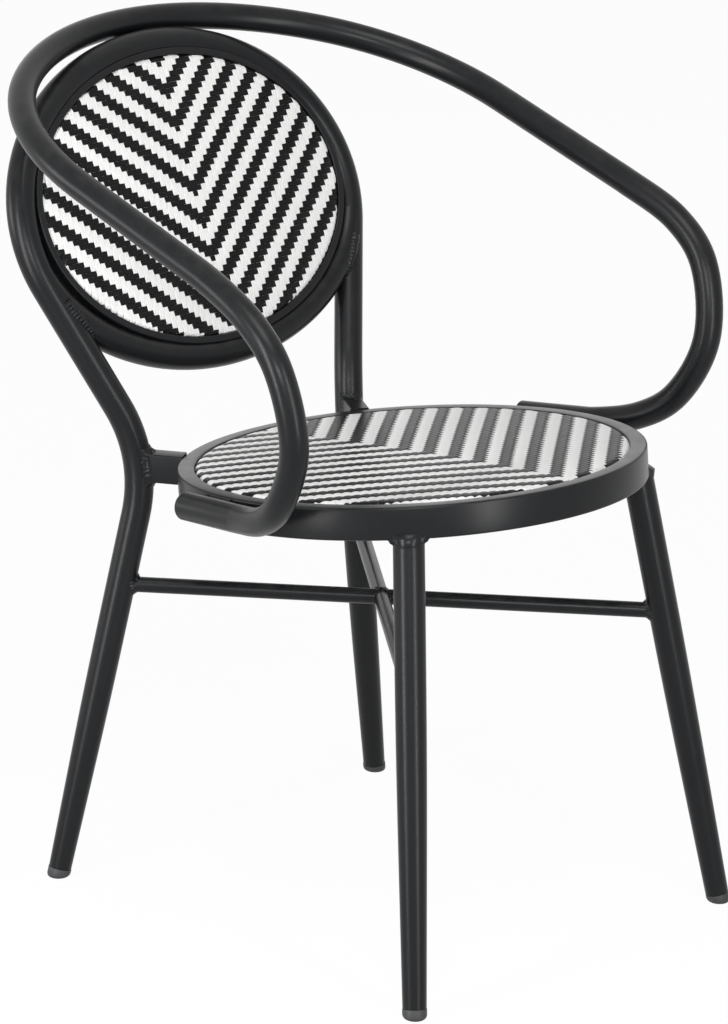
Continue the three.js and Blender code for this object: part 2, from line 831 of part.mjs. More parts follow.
function stretcherWeld(from, towards, bar, legGrown) {
  const bead = rodWeld(from, towards, stretcherRadius, bar, stretcherBead);
  return largest(without(bead, stretcherGrown(from, towards), legGrown));
}

// The weld round both half rods at the crossing, which meets itself over the through rod.
function crossingWeld() {
  const [front, rear] = [frontJoint, mirrored(rearJoint)].map((joint) =>
    rodWeld(joint, crossing, stretcherRadius, longBar, stretcherBead),
  );
  const rods = [stretcherGrown(longFrom, longTo), stretcherGrown(frontJoint, mirrored(rearJoint))];
  return largest(without(front.add(rear), ...rods));
}

// A bracket: a level bar from the seat ring's outer face to the rear leg's bend, on the +X side. Its
// height follows from the ring's top where the two meet.
function bracketFrame() {
  const level = new Vector3(0, 0, 1);
  const legAt = (height) => {
    const i = backHalf.findIndex((point) => point.z > height);
    const share = (height - backHalf[i - 1].z) / (backHalf[i].z - backHalf[i - 1].z);
    return mixed(backHalf[i - 1], backHalf[i], share);
  };
  const towards = legAt(seatHeight);
  const turn = Math.atan2(towards.y, towards.x);
  const joint = onSeat(seatRingRadius * cos(turn), seatRingRadius * sin(turn), 0);
  const leg = legAt(joint.z + bracketRise - bracketHeight / 2);
  const centre = new Vector3(0, 0, leg.z);
  const out = leg.clone().sub(centre);
  const reach = out.length();
  out.normalize();
  return { centre, out, reach, leg, up: level, side: level.clone().cross(out) };
}

const bracketAt = bracketFrame();

function bracketBar(grow = 0) {
  const inner = seatRingRadius - seatRingWidth / 2;
  const length = bracketAt.reach - inner;
  const box = new THREE.BoxGeometry(length + 2 * grow, bracketWidth + 2 * grow, bracketHeight + 2 * grow);
  const middle = bracketAt.centre.clone().addScaledVector(bracketAt.out, inner + length / 2);
  return solidOf(box, placed(middle, bracketAt.out, bracketAt.side, bracketAt.up));
}

// Everything inside the seat ring's outer face, for cutting.
function insideSeatRing() {
  const radius = seatRingRadius + clearance;
  const disc = new THREE.CylinderGeometry(radius, radius, 2 * overrun + bracketHeight, ringSteps);
  return solidOf(disc, along(onSeat(0, 0, 0), seatUp));
}

function bracket() {
  return largest(without(bracketBar(), insideSeatRing(), seatRingGrown, backFrameGrown));
}

// The bracket's weld on the rear leg, down both sides and across the top and bottom.
function bracketWeld() {
  const further = bracketAt.leg.clone().add(legDirection());
  const legBar = { from: bracketAt.leg, to: further, radius: frameTubeRadius };
  const corners = [[1, -1], [1, 0], [1, 1], [0, 1], [-1, 1], [-1, 0], [-1, -1], [0, -1]];
  const points = [];
  const outwards = [];
  for (const [a, b] of corners) {
    const out = bracketAt.side.clone().multiplyScalar((a * bracketWidth) / 2);
    out.addScaledVector(bracketAt.up, (b * bracketHeight) / 2);
    const start = bracketAt.centre.clone().addScaledVector(bracketAt.out, seatRingRadius).add(out);
    points.push(start.addScaledVector(bracketAt.out, distanceToBar(start, bracketAt.out, legBar)));
    outwards.push(out.normalize());
  }
  const bead = weldLoop(points, outwards, bracketBead);
  return largest(without(bead, bracketBar(clearance), backFrameGrown, seatRingGrown));
}

function legDirection() {
  const i = backHalf.findIndex((point) => point.z > bracketAt.leg.z);
  return backHalf[i].clone().sub(backHalf[i - 1]).normalize();
}

// The weld where the lower arc leaves an upright: along the groove between them, down the front, through
// the crotch and up the rear. Each place has the share that its tubes have parted by, where 1 is clear.
function seamPlaces() {
  return stepped(lowerArcStart, seamLastTurn, seamStep).map((turn) => {
    const height = hoopCentre - lowerArcHalfHeight * sin(turn);
    const arcX = lowerArcHalfWidth * cos(turn);
    const uprightX = hoopHalfWidth * cos(uprightTurn) - uprightLean * (uprightTopHeight - height);
    const parted = ((uprightX - arcX) * cos(Math.atan(uprightLean))) / 2;
    const share = parted / frameTubeRadius;
    const out = frameTubeRadius * sqrt(Math.max(1 - share * share, 0));
    return { x: (arcX + uprightX) / 2, height, share, out };
  });
}

function arcWeld() {
  const places = seamPlaces();
  const groove = places.filter(({ share }) => share > seamStartShare && share < seamEndShare);
  const clear = places.find(({ share }) => share > seamClearShare);
  const front = groove.map(({ x, height, out }) => onBack(x, height, out));
  const rear = groove.map(({ x, height, out }) => onBack(x, height, -out)).reverse();
  const bead = seamWeld([...front, onBack(clear.x, clear.height, 0), ...rear], seamBead);
  return largest(without(bead, backFrameGrown, lowerArcGrown));
}

// The chair.
const chair = new Group();

function add(name, solid, material) {
  const mesh = solid.getMesh();
  const positions = new Float32Array(mesh.numVert * 3);
  for (let i = 0; i < mesh.numVert; i++) {
    positions.set(mesh.vertProperties.subarray(i * mesh.numProp, i * mesh.numProp + 3), i * 3);
  }
  const geometry = new BufferGeometry();
  geometry.setAttribute("position", new BufferAttribute(positions, 3));
  geometry.setIndex(new BufferAttribute(mesh.triVerts, 1));
  geometry.computeVertexNormals();
  const node = new Mesh(geometry, material);
  node.name = name;
  chair.add(node);
}

function addPair(name, solid, material) {
  add(name + "_left", solid, material);
  add(name + "_right", mirroredSolid(solid), material);
}

add("back_frame_tube", backFrame, powderCoat);
add("back_lower_arc", lowerArc(), powderCoat);
add("back_panel_rim", panelRim(), powderCoat);
add("back_weave", weave(onBack, backWeaveOval, backWeaveTop, backWeaveCrown), wovenCane);
add("back_weave_hoop", weaveHoop(onBack, backWeaveOval, backWeaveTop), hiddenMetal);
add("seat_ring", seatRing(), powderCoat);
add("seat_weave", weave(onSeat, seatWeaveOval, seatWeaveTop, seatWeaveCrown), wovenCane);
add("seat_weave_hoop", weaveHoop(onSeat, seatWeaveOval, seatWeaveTop), hiddenMetal);
for (let i = 0; i < 4; i++) {
  const turn = PI / 4 + (i * PI) / 2;
  const seatTabTop = seatWeaveTop - weaveSkirt - clearance;
  const backTabTop = backWeaveTop - weaveSkirt - clearance;
  add("seat_tab_" + (i + 1), tab(onSeat, seatRingInside, turn, seatTabTop), hiddenMetal);
  add("back_tab_" + (i + 1), tab(onBack, panelRimInside, turn, backTabTop), hiddenMetal);
}
add("arm_tube", armTube(), powderCoat);
addPair("arm_cap", armCap(), capPlastic);
addPair("front_leg", frontLeg(), powderCoat);
addPair("front_foot", foot(frontFoot, frontUp, frontFootRadius, frontLegWall), footPlastic);
addPair("rear_foot", foot(rearFoot, rearUp, rearFootRadius, frameTubeWall), footPlastic);
addPair("rear_bracket", bracket(), powderCoat);
add("stretcher_long", longStretcher(), powderCoat);
add("stretcher_front_half", halfStretcher(frontJoint), powderCoat);
add("stretcher_rear_half", halfStretcher(mirrored(rearJoint)), powderCoat);
addPair("weld_front_leg", frontLegWeld(), powderCoat);
addPair("weld_bracket", bracketWeld(), powderCoat);
addPair("weld_lower_arc", arcWeld(), powderCoat);
addPair("weld_arm_ring", armRingWeld(), powderCoat);
add("weld_arm_hoop", armHoopWeld(), powderCoat);
const halfTo = mirrored(rearJoint);
const frontRightBar = mirroredBar(frontBar);
const rearRightBar = mirroredBar(rearBar);
const frontRightWeld = stretcherWeld(longTo, longFrom, frontRightBar, frontLegGrownMirror);
add("weld_stretcher_front_right", frontRightWeld, powderCoat);
add("weld_stretcher_front_left", stretcherWeld(halfTo, frontJoint, frontBar, frontLegGrown), powderCoat);
add("weld_stretcher_rear_left", stretcherWeld(longFrom, longTo, rearBar, backFrameGrown), powderCoat);
add("weld_stretcher_rear_right", stretcherWeld(frontJoint, halfTo, rearRightBar, backFrameGrown), powderCoat);
add("weld_crossing", crossingWeld(), powderCoat);

// The origin goes to the floor below the middle of the chair's box.
const box = new THREE.Box3().setFromObject(chair);
const middle = box.getCenter(new Vector3());
chair.position.set(0, -middle.y, -box.min.z);

export default chair;
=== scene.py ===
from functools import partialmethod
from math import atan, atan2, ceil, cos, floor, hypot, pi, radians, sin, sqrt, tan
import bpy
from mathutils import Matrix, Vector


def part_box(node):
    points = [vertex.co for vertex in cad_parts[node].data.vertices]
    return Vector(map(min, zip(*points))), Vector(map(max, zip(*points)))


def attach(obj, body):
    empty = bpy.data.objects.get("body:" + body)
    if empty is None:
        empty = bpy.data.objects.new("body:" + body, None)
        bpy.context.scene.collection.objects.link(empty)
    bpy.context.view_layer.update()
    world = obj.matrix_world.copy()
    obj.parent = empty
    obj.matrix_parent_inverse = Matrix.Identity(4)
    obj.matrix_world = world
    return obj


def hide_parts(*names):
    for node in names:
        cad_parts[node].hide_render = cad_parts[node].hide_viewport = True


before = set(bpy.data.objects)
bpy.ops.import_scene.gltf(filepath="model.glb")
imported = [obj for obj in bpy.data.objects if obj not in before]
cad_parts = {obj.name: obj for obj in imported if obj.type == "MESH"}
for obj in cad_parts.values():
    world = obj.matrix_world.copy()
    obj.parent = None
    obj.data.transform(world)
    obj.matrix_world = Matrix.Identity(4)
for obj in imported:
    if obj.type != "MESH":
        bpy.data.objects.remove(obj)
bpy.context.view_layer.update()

# A stacking bistro armchair: a welded tube frame with a round woven seat and an oval woven back.
# Lengths are metres, +Z is up and the sitter faces -Y, with the sitter's left at +X.
from types import SimpleNamespace

import bmesh
import bpy
from mathutils import Matrix, Quaternion, Vector, noise

X_WAY = Vector((1, 0, 0))
Y_WAY = Vector((0, 1, 0))
UP = Vector((0, 0, 1))

# Seat: the ring's top lies SEAT_HEIGHT above the floor at its centre and rises to the front.
SEAT_HEIGHT = 0.440
SEAT_TILT = radians(6.7)
RING_RADIUS = 0.2205
RING_WIDTH = 0.0163
RING_HEIGHT = 0.0305
RING_EDGE = 0.0022

# Back: a leaning plane, and the hoop, the lower arc and the panel's rim on it.
BACK_TILT = radians(23.7)
BACK_PLANE_SETBACK = 0.1149
BACK_PLANE_HEIGHT = 0.6845
HOOP_HALF_WIDTH = 0.2107
HOOP_HALF_HEIGHT = 0.1633
HOOP_CENTRE = -0.0733
TUBE_RADIUS = 0.01395
UPRIGHT_TURN = radians(16.4)
UPRIGHT_FOOT_HEIGHT = -0.296
ARC_HALF_WIDTH = 0.212
ARC_HALF_HEIGHT = 0.143
ARC_START = radians(15)
RIM_HALF_WIDTH = 0.198
RIM_HALF_HEIGHT = 0.1447
RIM_CENTRE = -0.0629
RIM_WIDTH = 0.0072
RIM_FRONT = 0.0127
RIM_REAR = -0.004
RIM_EDGE = 0.0012

# Woven panels.
WEAVE_RIM_GAP = 0.0007
WEAVE_SKIRT = 0.013
WEAVE_LIP = 0.0095
WEAVE_ROUND = 0.0028
WEAVE_SKIN = 0.0022
SEAT_WEAVE_DROP = 0.002
SEAT_WEAVE_CROWN = 0.0035
SEAT_WEAVE_RISE = 0.0026
SEAT_WEAVE_ROUND = 0.005
BACK_WEAVE_DROP = 0.0007
BACK_WEAVE_CROWN = 0.0025
WEAVE_HOOP_WIDTH = 0.0065
WEAVE_HOOP_EDGE = 0.0012
PIECE_GAP = 0.0003
CANE_THICKNESS = 0.00095
SEAT_COLUMN = 0.00645
SEAT_ROW = 0.00536
SEAT_FIRST_COLUMN_X = 0.0
SEAT_FIRST_ROW_Y = 0.0342
BACK_COLUMN = 0.00626
BACK_ROW = 0.00539
BACK_FIRST_COLUMN_X = 0.0
BACK_FIRST_ROW_Y = 0.127
STRAND_INSET = 0.001
# A wave of a strand is three cells over and three under. A strand has two stations a cell.
WAVE_CELLS = 6
CELL_STATIONS = 2
STATION_START_SHARE = 0.25
WAVE_STEEPNESS = 1.6
WAVE_SWELL_SHARE = 0.12
WAVE_HEIGHT_SHARE = 0.6
LIGHT_WIDTH_SHARE = 0.486
LIGHT_PITCH_SHARE = 0.49
DARK_WIDTH_SHARE = 0.985
LIGHT_SIDES = 6
DARK_SIDES = 8
STRAND_SIDE_POWER = 0.22
STRAND_FACE_POWER = 0.5
EDGE_SEARCH_STEPS = 2
LEAST_SHARE = 0.001
STRAND_MERGE = 0.00002

# Rear and front legs, and the feet.
REAR_FOOT_X = 0.2186
REAR_FOOT_SETBACK = 0.0252
REAR_FOOT_RADIUS = 0.0109
REAR_TAPER_TOP = 0.185
REAR_BEND_RADIUS = 0.147
FRONT_FOOT_X = 0.2109
FRONT_FOOT_Y = -0.2247
FRONT_TOP_X = 0.1545
FRONT_TOP_Y = -0.1428
FRONT_TOP_RADIUS = 0.0145
FRONT_FOOT_RADIUS = 0.0111
FRONT_TAPER_TOP = 0.245
FOOT_RADIUS = 0.0114
FOOT_EDGE_RADIUS = 0.004
FOOT_HEIGHT = 0.0092
FOOT_TOP_EDGE = 0.0005
FOOT_NECK = 0.0026

# Arms: one tube that loops behind the back, runs forward and folds back beside the seat ring.
ARM_RADIUS = 0.0132
ARM_SETBACK = 0.025
ARM_RISE = 0.0178
ARM_SLOPE = radians(17.16)
ARM_BACK_RADIUS = 0.3
ARM_BACK_TURN = radians(40)
ARM_SIDE_RADIUS = 0.237
ARM_RUN = 0.17
ARM_RUN_TOE = radians(0.7)
ARM_NOSE_REACH = 0.116
ARM_TAIL_TURN = radians(8)
ARM_TAIL_DEPTH = 0.0125
ARM_TAIL_LEAD = 0.042
ARM_TAIL_REACH = 0.037
ARM_CAP_THICKNESS = 0.002
ARM_CAP_CROWN = 0.0012
ARM_CAP_EDGE = 0.0005
ARM_CAP_LIP = 0.0003
ARM_CAP_STUB = 0.001
ARM_CAP_STUB_INSET = 0.0004
ARM_CAP_ROUND_SHARES = (0.7, 0.3)
ARM_BEND_STEPS = 10
# The front bend's places as shares of the way in, of the reach forward and of the way down.
ARM_BEND_SHARES = (
    (-0.12, 0.57, 0.12),
    (-0.12, 0.87, 0.27),
    (0.06, 1, 0.58),
    (0.3, 0.76, 0.84),
    (0.6, 0.47, 0.945),
)

# Stretchers, brackets and tabs.
ROD_RADIUS = 0.0075
ROD_HEIGHT = 0.29
BRACKET_WIDTH = 0.019
BRACKET_HEIGHT = 0.028
BRACKET_RISE = 0.0015
BRACKET_EDGE = 0.0014
TAB_WIDTH = 0.018
TAB_THICKNESS = 0.0025
TAB_REACH = 0.014
TAB_EDGE = 0.0006
SCREW_PLACE_SHARE = 0.6
SCREW_HEAD_RADIUS = 0.0036
SCREW_HEAD_RIM = 0.0004
SCREW_HEAD_ROUND = 0.0024
SCREW_HEAD_TOP = 0.0027
SCREW_SOCKET_RADIUS = 0.0011
SCREW_SOCKET_TAPER = 0.0002
SCREW_SOCKET_FLOOR = 0.0012
SCREW_SOCKET_HOLLOW = 0.0001
ROD_SHARES = (0, 0.25, 0.5, 0.75, 1)
BRACKET_SHARES = (0, 0.05, 0.35, 0.65, 1)

# Welds: fillets that fill a corner round a joint, and beads along a joint's line.
LEG_FILLET_FLARE = 0.0065
LEG_FILLET_REACH = 0.0065
LEG_FILLET_OUTSET = 0.0012
LEG_FILLET_DEPTH = 0.0016
LEG_FILLET_SEED = 4
LEG_FILLET_CLIMB_SHARES = (0.55, 0.15)
ROD_FILLET_FLARE = 0.0042
ROD_FILLET_REACH = 0.0045
CROSSING_BEAD = 0.0017
BRACKET_FILLET_FLARE = 0.0036
BRACKET_FILLET_RISE = 0.0055
BRACKET_FILLET_REACH = 0.0065
FILLET_SINK = 0.0004
FILLET_ROOT = 0.0012
FILLET_STEP = 0.0006
FILLET_CURL_SHARE = 0.35
FILLET_WAVER_SHARE = 0.6
FILLET_GRAIN = 260
FILLET_SHARES = tuple(i / 8 for i in range(9))
SEAM_BEAD = 0.0046
SEAM_START = radians(26)
SEAM_END = radians(54)
SEAM_STEP = radians(0.5)
SEAM_SINK_SHARE = 0.62
SEAM_RIPPLE = 0.0038
SEAM_DEPTH = 0.0011
ARM_BEAD = 0.0034
ARM_WELD_LENGTH = 0.03
HOOP_WELD_LENGTH = 0.036
ARM_BEAD_OFFSET = ARM_RADIUS / 3
BEAD_SIDES = 14
BEAD_LEAST_SHARE = 0.86
BEAD_WAVER_SHARE = 0.28
BEAD_WAVER_SCALE = 90
RIPPLE_LENGTH = 0.0026
RIPPLE_DEPTH = 0.0004
RIPPLE_STATIONS = 8
RIPPLE_WAVER_SHARE = 0.9
RIPPLE_WAVER_SCALE = 420

# A tapered leg's stations, as shares of its straight, and how sharply the taper begins.
TAPER_SHARES = tuple(i / 16 for i in range(16))
TAPER_POWER = 6

# The steps and the sides that round shapes are made of.
BEND_STEP = radians(2.5)
TUBE_SIDES = 40
ROD_SIDES = 28
RING_STEPS = 220
EDGE_STEPS = 5
FOOT_EDGE_STEP = radians(9)
ROD_FILLET_STEPS = 96
CROSSING_STEPS = 48
CAP_SIDES = 48
SCREW_SIDES = 24
ARC_STEPS = 6

# Faces that meet at more than these angles keep a sharp edge, points nearer than these are one, and a
# count of steps forgives this share of a step.
SHARP_ANGLE = radians(40)
WELD_SHARP_ANGLE = radians(70)
SAME_POINT = 0.0000001
SAME_WELD_POINT = 0.000001
ROUNDING_SHARE = 1e-9

# The camera stands at the photograph's viewing angle and aims at a place near the seat.
CAMERA_YAW = radians(46.043)
CAMERA_PITCH = radians(17.744)
CAMERA_ROLL = radians(1.609)
CAMERA_DISTANCE = 4.8086
CAMERA_AIM_RIGHT = -0.0434
CAMERA_AIM_HEIGHT = 0.3815
CAMERA_LENS = 179.78
CAMERA_SENSOR = 36
CAMERA_CLIP = 100

# The studio: the world's light on the object, the share of the floor's white that is its own glow, and
# each lamp's place, width, height and power. All lamps face the same place.
WORLD_LIGHT = 0.2
GLOW_SHARE = 0.96
FLOOR_REACH = 8
LAMP_TARGET = (0, 0, 0.45)
LAMPS = {
    "left_softbox": ((-2.0, -0.08, 0.8), 0.3, 1.5, 31),
    "right_softbox": ((-0.38, -1.97, 0.8), 0.26, 1.5, 19),
    "front_softbox": ((-2.0, -1.9, 1.45), 0.7, 0.3, 22),
    "top_softbox": ((-0.9, -0.9, 2.9), 1.1, 1.1, 26),
    "rear_softbox": ((-2.3, 2.2, 0.8), 1.4, 0.9, 26),
    "back_softbox": ((2.2, 2.2, 0.9), 2.4, 1.0, 5),
}

# Colours run from a low to a high one.
WHITE = (1, 1, 1, 1)
PAPER_WHITE = (0.9, 0.9, 0.9, 1)
COAT_LOW = (0.0045, 0.0049, 0.0056, 1)
COAT_HIGH = (0.007, 0.0075, 0.0085, 1)
WELD_COAT_HIGH = (0.008, 0.0085, 0.0095, 1)
DUST_COLOUR = (0.09, 0.088, 0.085, 1)
LIGHT_CANE_COLOURS = (0.70, 0.70, 0.69, 1), (0.84, 0.84, 0.83, 1)
DARK_CANE_COLOURS = (0.003, 0.003, 0.0033, 1), (0.007, 0.007, 0.0075, 1)
CAP_COLOURS = (0.022, 0.022, 0.024, 1), (0.034, 0.034, 0.036, 1)
FOOT_COLOURS = (0.013, 0.0135, 0.0145, 1), (0.022, 0.023, 0.025, 1)
ZINC_COLOURS = (0.42, 0.42, 0.41, 1), (0.6, 0.6, 0.6, 1)

# Gloss, and each surface's roughness with what its patterns add to it.
COAT_SHINE = 0.19
LIGHT_CANE_SHINE = 0.3
DARK_CANE_SHINE = 0.12
COAT_ROUGHNESS = 0.27
COAT_CLOUD_ROUGHNESS = 0.05
COAT_PEEL_ROUGHNESS = 0.04
COAT_DUST_ROUGHNESS = 0.05
WELD_ROUGHNESS = 0.22
WELD_CLOUD_ROUGHNESS = 0.06
WELD_GRIT_ROUGHNESS = 0.08
LIGHT_CANE_ROUGHNESS = 0.42
DARK_CANE_ROUGHNESS = 0.3
CANE_CLOUD_ROUGHNESS = 0.1
CANE_LINE_ROUGHNESS = 0.06
CAP_ROUGHNESS = 0.42
FOOT_ROUGHNESS = 0.45
FLOW_ROUGHNESS = 0.1
GRIT_ROUGHNESS = 0.08
ZINC_ROUGHNESS = 0.28
ZINC_PATCH_ROUGHNESS = 0.2

# The scales of patterns, in waves a metre, how deep they press in, and how strong they are. The cane's
# scales run across a strand, along it, and from strand to strand.
COAT_CLOUD_SCALE = 14
COAT_PEEL_SCALE = 1500
COAT_PEEL_DEPTH = 0.00002
DUST_SCALE = 60
DUST_SHARE = 0.12
DUST_FACING_SHARES = (0.2, 1)
DUST_PATCH_SHARES = (0.3, 0.75)
WELD_CLOUD_SCALE = 40
WELD_GRIT_SCALE = 900
WELD_GRIT_DEPTH = 0.00006
CANE_LINE_SCALES = (2600, 45, 7.3)
CANE_CLOUD_SCALES = (90, 60, 3.1)
CANE_TONE_SHARES = (0.5, 0.3, 0.2)
CANE_LINE_DEPTH = 0.00002
FLOW_SCALES = (60, 60, 180)
GRIT_SCALE = 2200
GRIT_DEPTH = 0.00003
ZINC_PATCH_SCALE = 500


def added(name, data):
    """A new object in the scene."""
    made = bpy.data.objects.new(name, data)
    bpy.context.scene.collection.objects.link(made)
    return made


class Value:
    """A node's output socket. Arithmetic on it adds Math nodes to its tree."""

    def __init__(self, nodes, socket):
        self.nodes = nodes
        self.socket = socket

    def math(self, operation, *others):
        sockets = dict(enumerate((self, *others)))
        return self.nodes.node("ShaderNodeMath", sockets, operation=operation)

    def __rsub__(self, other):
        return self.nodes.node("ShaderNodeMath", {0: other, 1: self}, operation="SUBTRACT")

    __add__ = __radd__ = partialmethod(math, "ADD")
    __sub__ = partialmethod(math, "SUBTRACT")
    __mul__ = __rmul__ = partialmethod(math, "MULTIPLY")
    __truediv__ = partialmethod(math, "DIVIDE")
    __pow__ = partialmethod(math, "POWER")
    __neg__ = partialmethod(math, "MULTIPLY", -1)
    sine = partialmethod(math, "SINE")
    cosine = partialmethod(math, "COSINE")
    size = partialmethod(math, "ABSOLUTE")
    sign = partialmethod(math, "SIGN")
    floored = partialmethod(math, "FLOOR")
    fraction = partialmethod(math, "FRACT")
    root = partialmethod(math, "SQRT")
    least = partialmethod(math, "MINIMUM")
    most = partialmethod(math, "MAXIMUM")
    above = partialmethod(math, "GREATER_THAN")

    def within(self, low, high):
        return self.most(low).least(high)

    def eased(self, low, high):
        """0 below low, 1 above high and a smooth rise between them."""
        sockets = {"Value": self, "From Min": low, "From Max": high}
        return self.nodes.node("ShaderNodeMapRange", sockets, interpolation_type="SMOOTHSTEP")

    def xyz(self):
        parts = self.nodes.tree.nodes.new("ShaderNodeSeparateXYZ")
        self.nodes.tree.links.new(self.socket, parts.inputs[0])
        return [Value(self.nodes, socket) for socket in parts.outputs]


class Nodes:
    """A node tree that is being built."""

    def __init__(self, tree):
        self.tree = tree

    def node(self, kind, sockets=None, output=0, **settings):
        """Adds a node: its settings first, then its sockets' values and links. Returns one output."""
        made = self.tree.nodes.new(kind)
        for name, value in settings.items():
            setattr(made, name, value)
        for name, value in (sockets or {}).items():
            if isinstance(value, Value):
                self.tree.links.new(value.socket, made.inputs[name])
            else:
                made.inputs[name].default_value = value
        return Value(self, made.outputs[output]) if made.outputs else None

    def vector(self, x, y, z):
        return self.node("ShaderNodeCombineXYZ", {"X": x, "Y": y, "Z": z})

    def scaled(self, vector, sizes):
        sockets = {0: vector, 1: sizes}
        return self.node("ShaderNodeVectorMath", sockets, operation="MULTIPLY")

    def mix(self, factor, colour, other):
        sockets = {0: factor, 6: colour, 7: other}
        return self.node("ShaderNodeMix", sockets, 2, data_type="RGBA")

    def noise(self, vector, scale=1, detail=2):
        sockets = {"Vector": vector, "Scale": scale, "Detail": detail}
        return self.node("ShaderNodeTexNoise", sockets)

    def bump(self, height, distance):
        return self.node("ShaderNodeBump", {"Height": height, "Distance": distance})


class Grown(Nodes):
    """A Geometry Nodes tree with a mesh, a material, counts and measures as named inputs."""

    def __init__(self, name, counts, measures):
        super().__init__(bpy.data.node_groups.new(name, "GeometryNodeTree"))
        face = self.tree.interface
        face.new_socket("geometry", in_out="OUTPUT", socket_type="NodeSocketGeometry")
        kinds = {"Geometry": ["geometry"], "Int": counts, "Float": measures, "Material": ["material"]}
        for kind, names in kinds.items():
            for name in names:
                face.new_socket(name, in_out="INPUT", socket_type="NodeSocket" + kind)
        entry = self.tree.nodes.new("NodeGroupInput")
        sockets = {socket.name: Value(self, socket) for socket in entry.outputs if socket.name}
        self.inputs = SimpleNamespace(**sockets)

    def named(self, name, kind="FLOAT"):
        return self.node("GeometryNodeInputNamedAttribute", {"Name": name}, data_type=kind)

    def store(self, geometry, name, value, kind="FLOAT"):
        sockets = {"Geometry": geometry, "Name": name, "Value": value}
        return self.node("GeometryNodeStoreNamedAttribute", sockets, data_type=kind, domain="POINT")

    def drop(self, geometry, name):
        sockets = {"Geometry": geometry, "Name": name}
        return self.node("GeometryNodeRemoveAttribute", sockets)

    def place(self, geometry, position):
        sockets = {"Geometry": geometry, "Position": position}
        return self.node("GeometryNodeSetPosition", sockets)

    def end(self, geometry):
        """Ends the tree in Realize Instances and Set Material."""
        whole = self.node("GeometryNodeRealizeInstances", {"Geometry": geometry})
        sockets = {"Geometry": whole, "Material": self.inputs.material}
        painted = self.node("GeometryNodeSetMaterial", sockets)
        out = self.tree.nodes.new("NodeGroupOutput")
        self.tree.links.new(painted.socket, out.inputs[0])

    def grow(self, source, **inputs):
        """Runs the tree on a mesh and returns the result as a plain mesh."""
        carrier = added("carrier", source)
        modifier = carrier.modifiers.new("grown", "NODES")
        modifier.node_group = self.tree
        for item in self.tree.interface.items_tree:
            if item.in_out == "INPUT" and item.name in inputs:
                modifier[item.identifier] = inputs[item.name]
        depsgraph = bpy.context.evaluated_depsgraph_get()
        mesh = bpy.data.meshes.new_from_object(carrier.evaluated_get(depsgraph))
        carrier.modifiers.remove(modifier)
        bpy.data.objects.remove(carrier)
        return mesh


def new_material(name):
    material = bpy.data.materials.new(name)
    material.use_nodes = True
    material.node_tree.nodes.clear()
    return material, Nodes(material.node_tree)


def finished(material, nodes, **sockets):
    """Gives a material its Principled shader. An underscore stands for a space in a socket's name."""
    sockets = {key.replace("_", " "): value for key, value in sockets.items()}
    shader = nodes.node("ShaderNodeBsdfPrincipled", sockets)
    nodes.node("ShaderNodeOutputMaterial", {"Surface": shader})
    return material


def object_place(nodes):
    return nodes.node("ShaderNodeTexCoord", output=3)


def powder_coat():
    """Satin dark grey powder coat: fine orange peel, faint cloudiness and a little dust on top."""
    material, nodes = new_material("powder_coat")
    place = object_place(nodes)
    clouds = nodes.noise(place, COAT_CLOUD_SCALE, detail=4)
    peel = nodes.noise(place, COAT_PEEL_SCALE, detail=3)
    up = nodes.node("ShaderNodeNewGeometry", output=1).xyz()[2]
    patches = nodes.noise(place, DUST_SCALE, detail=5)
    dust = up.eased(*DUST_FACING_SHARES) * patches.eased(*DUST_PATCH_SHARES)
    coat = nodes.mix(clouds, COAT_LOW, COAT_HIGH)
    rough = COAT_ROUGHNESS + clouds * COAT_CLOUD_ROUGHNESS + peel * COAT_PEEL_ROUGHNESS
    return finished(
        material,
        nodes,
        Base_Color=nodes.mix(dust * DUST_SHARE, coat, DUST_COLOUR),
        Roughness=rough + dust * COAT_DUST_ROUGHNESS,
        Specular_IOR_Level=COAT_SHINE,
        Normal=nodes.bump(peel, COAT_PEEL_DEPTH),
    )


def weld_coat():
    """The same coat over a weld, where it lies thicker and a little glossier."""
    material, nodes = new_material("weld_coat")
    place = object_place(nodes)
    clouds = nodes.noise(place, WELD_CLOUD_SCALE, detail=4)
    grit = nodes.noise(place, WELD_GRIT_SCALE, detail=4)
    return finished(
        material,
        nodes,
        Base_Color=nodes.mix(clouds, COAT_LOW, WELD_COAT_HIGH),
        Roughness=WELD_ROUGHNESS + clouds * WELD_CLOUD_ROUGHNESS + grit * WELD_GRIT_ROUGHNESS,
        Specular_IOR_Level=COAT_SHINE,
        Normal=nodes.bump(grit, WELD_GRIT_DEPTH),
    )


def cane(name, colours, rough, shine):
    """Flat extruded cane: fine lines along the strand, and a tone of its own for each strand."""
    material, nodes = new_material(name)
    grain = nodes.node("ShaderNodeAttribute", output=1, attribute_name="grain")
    lines = nodes.noise(nodes.scaled(grain, CANE_LINE_SCALES), detail=3)
    cloud = nodes.noise(nodes.scaled(grain, CANE_CLOUD_SCALES), detail=3)
    strand = grain.xyz()[2]
    tone = nodes.node("ShaderNodeTexWhiteNoise", {"W": strand}, noise_dimensions="1D")
    by_lines, by_cloud, by_tone = CANE_TONE_SHARES
    mixed = (lines * by_lines + cloud * by_cloud + tone * by_tone).within(0, 1)
    return finished(
        material,
        nodes,
        Base_Color=nodes.mix(mixed, *colours),
        Roughness=rough + cloud * CANE_CLOUD_ROUGHNESS + lines * CANE_LINE_ROUGHNESS,
        Specular_IOR_Level=shine,
        Normal=nodes.bump(lines, CANE_LINE_DEPTH),
    )


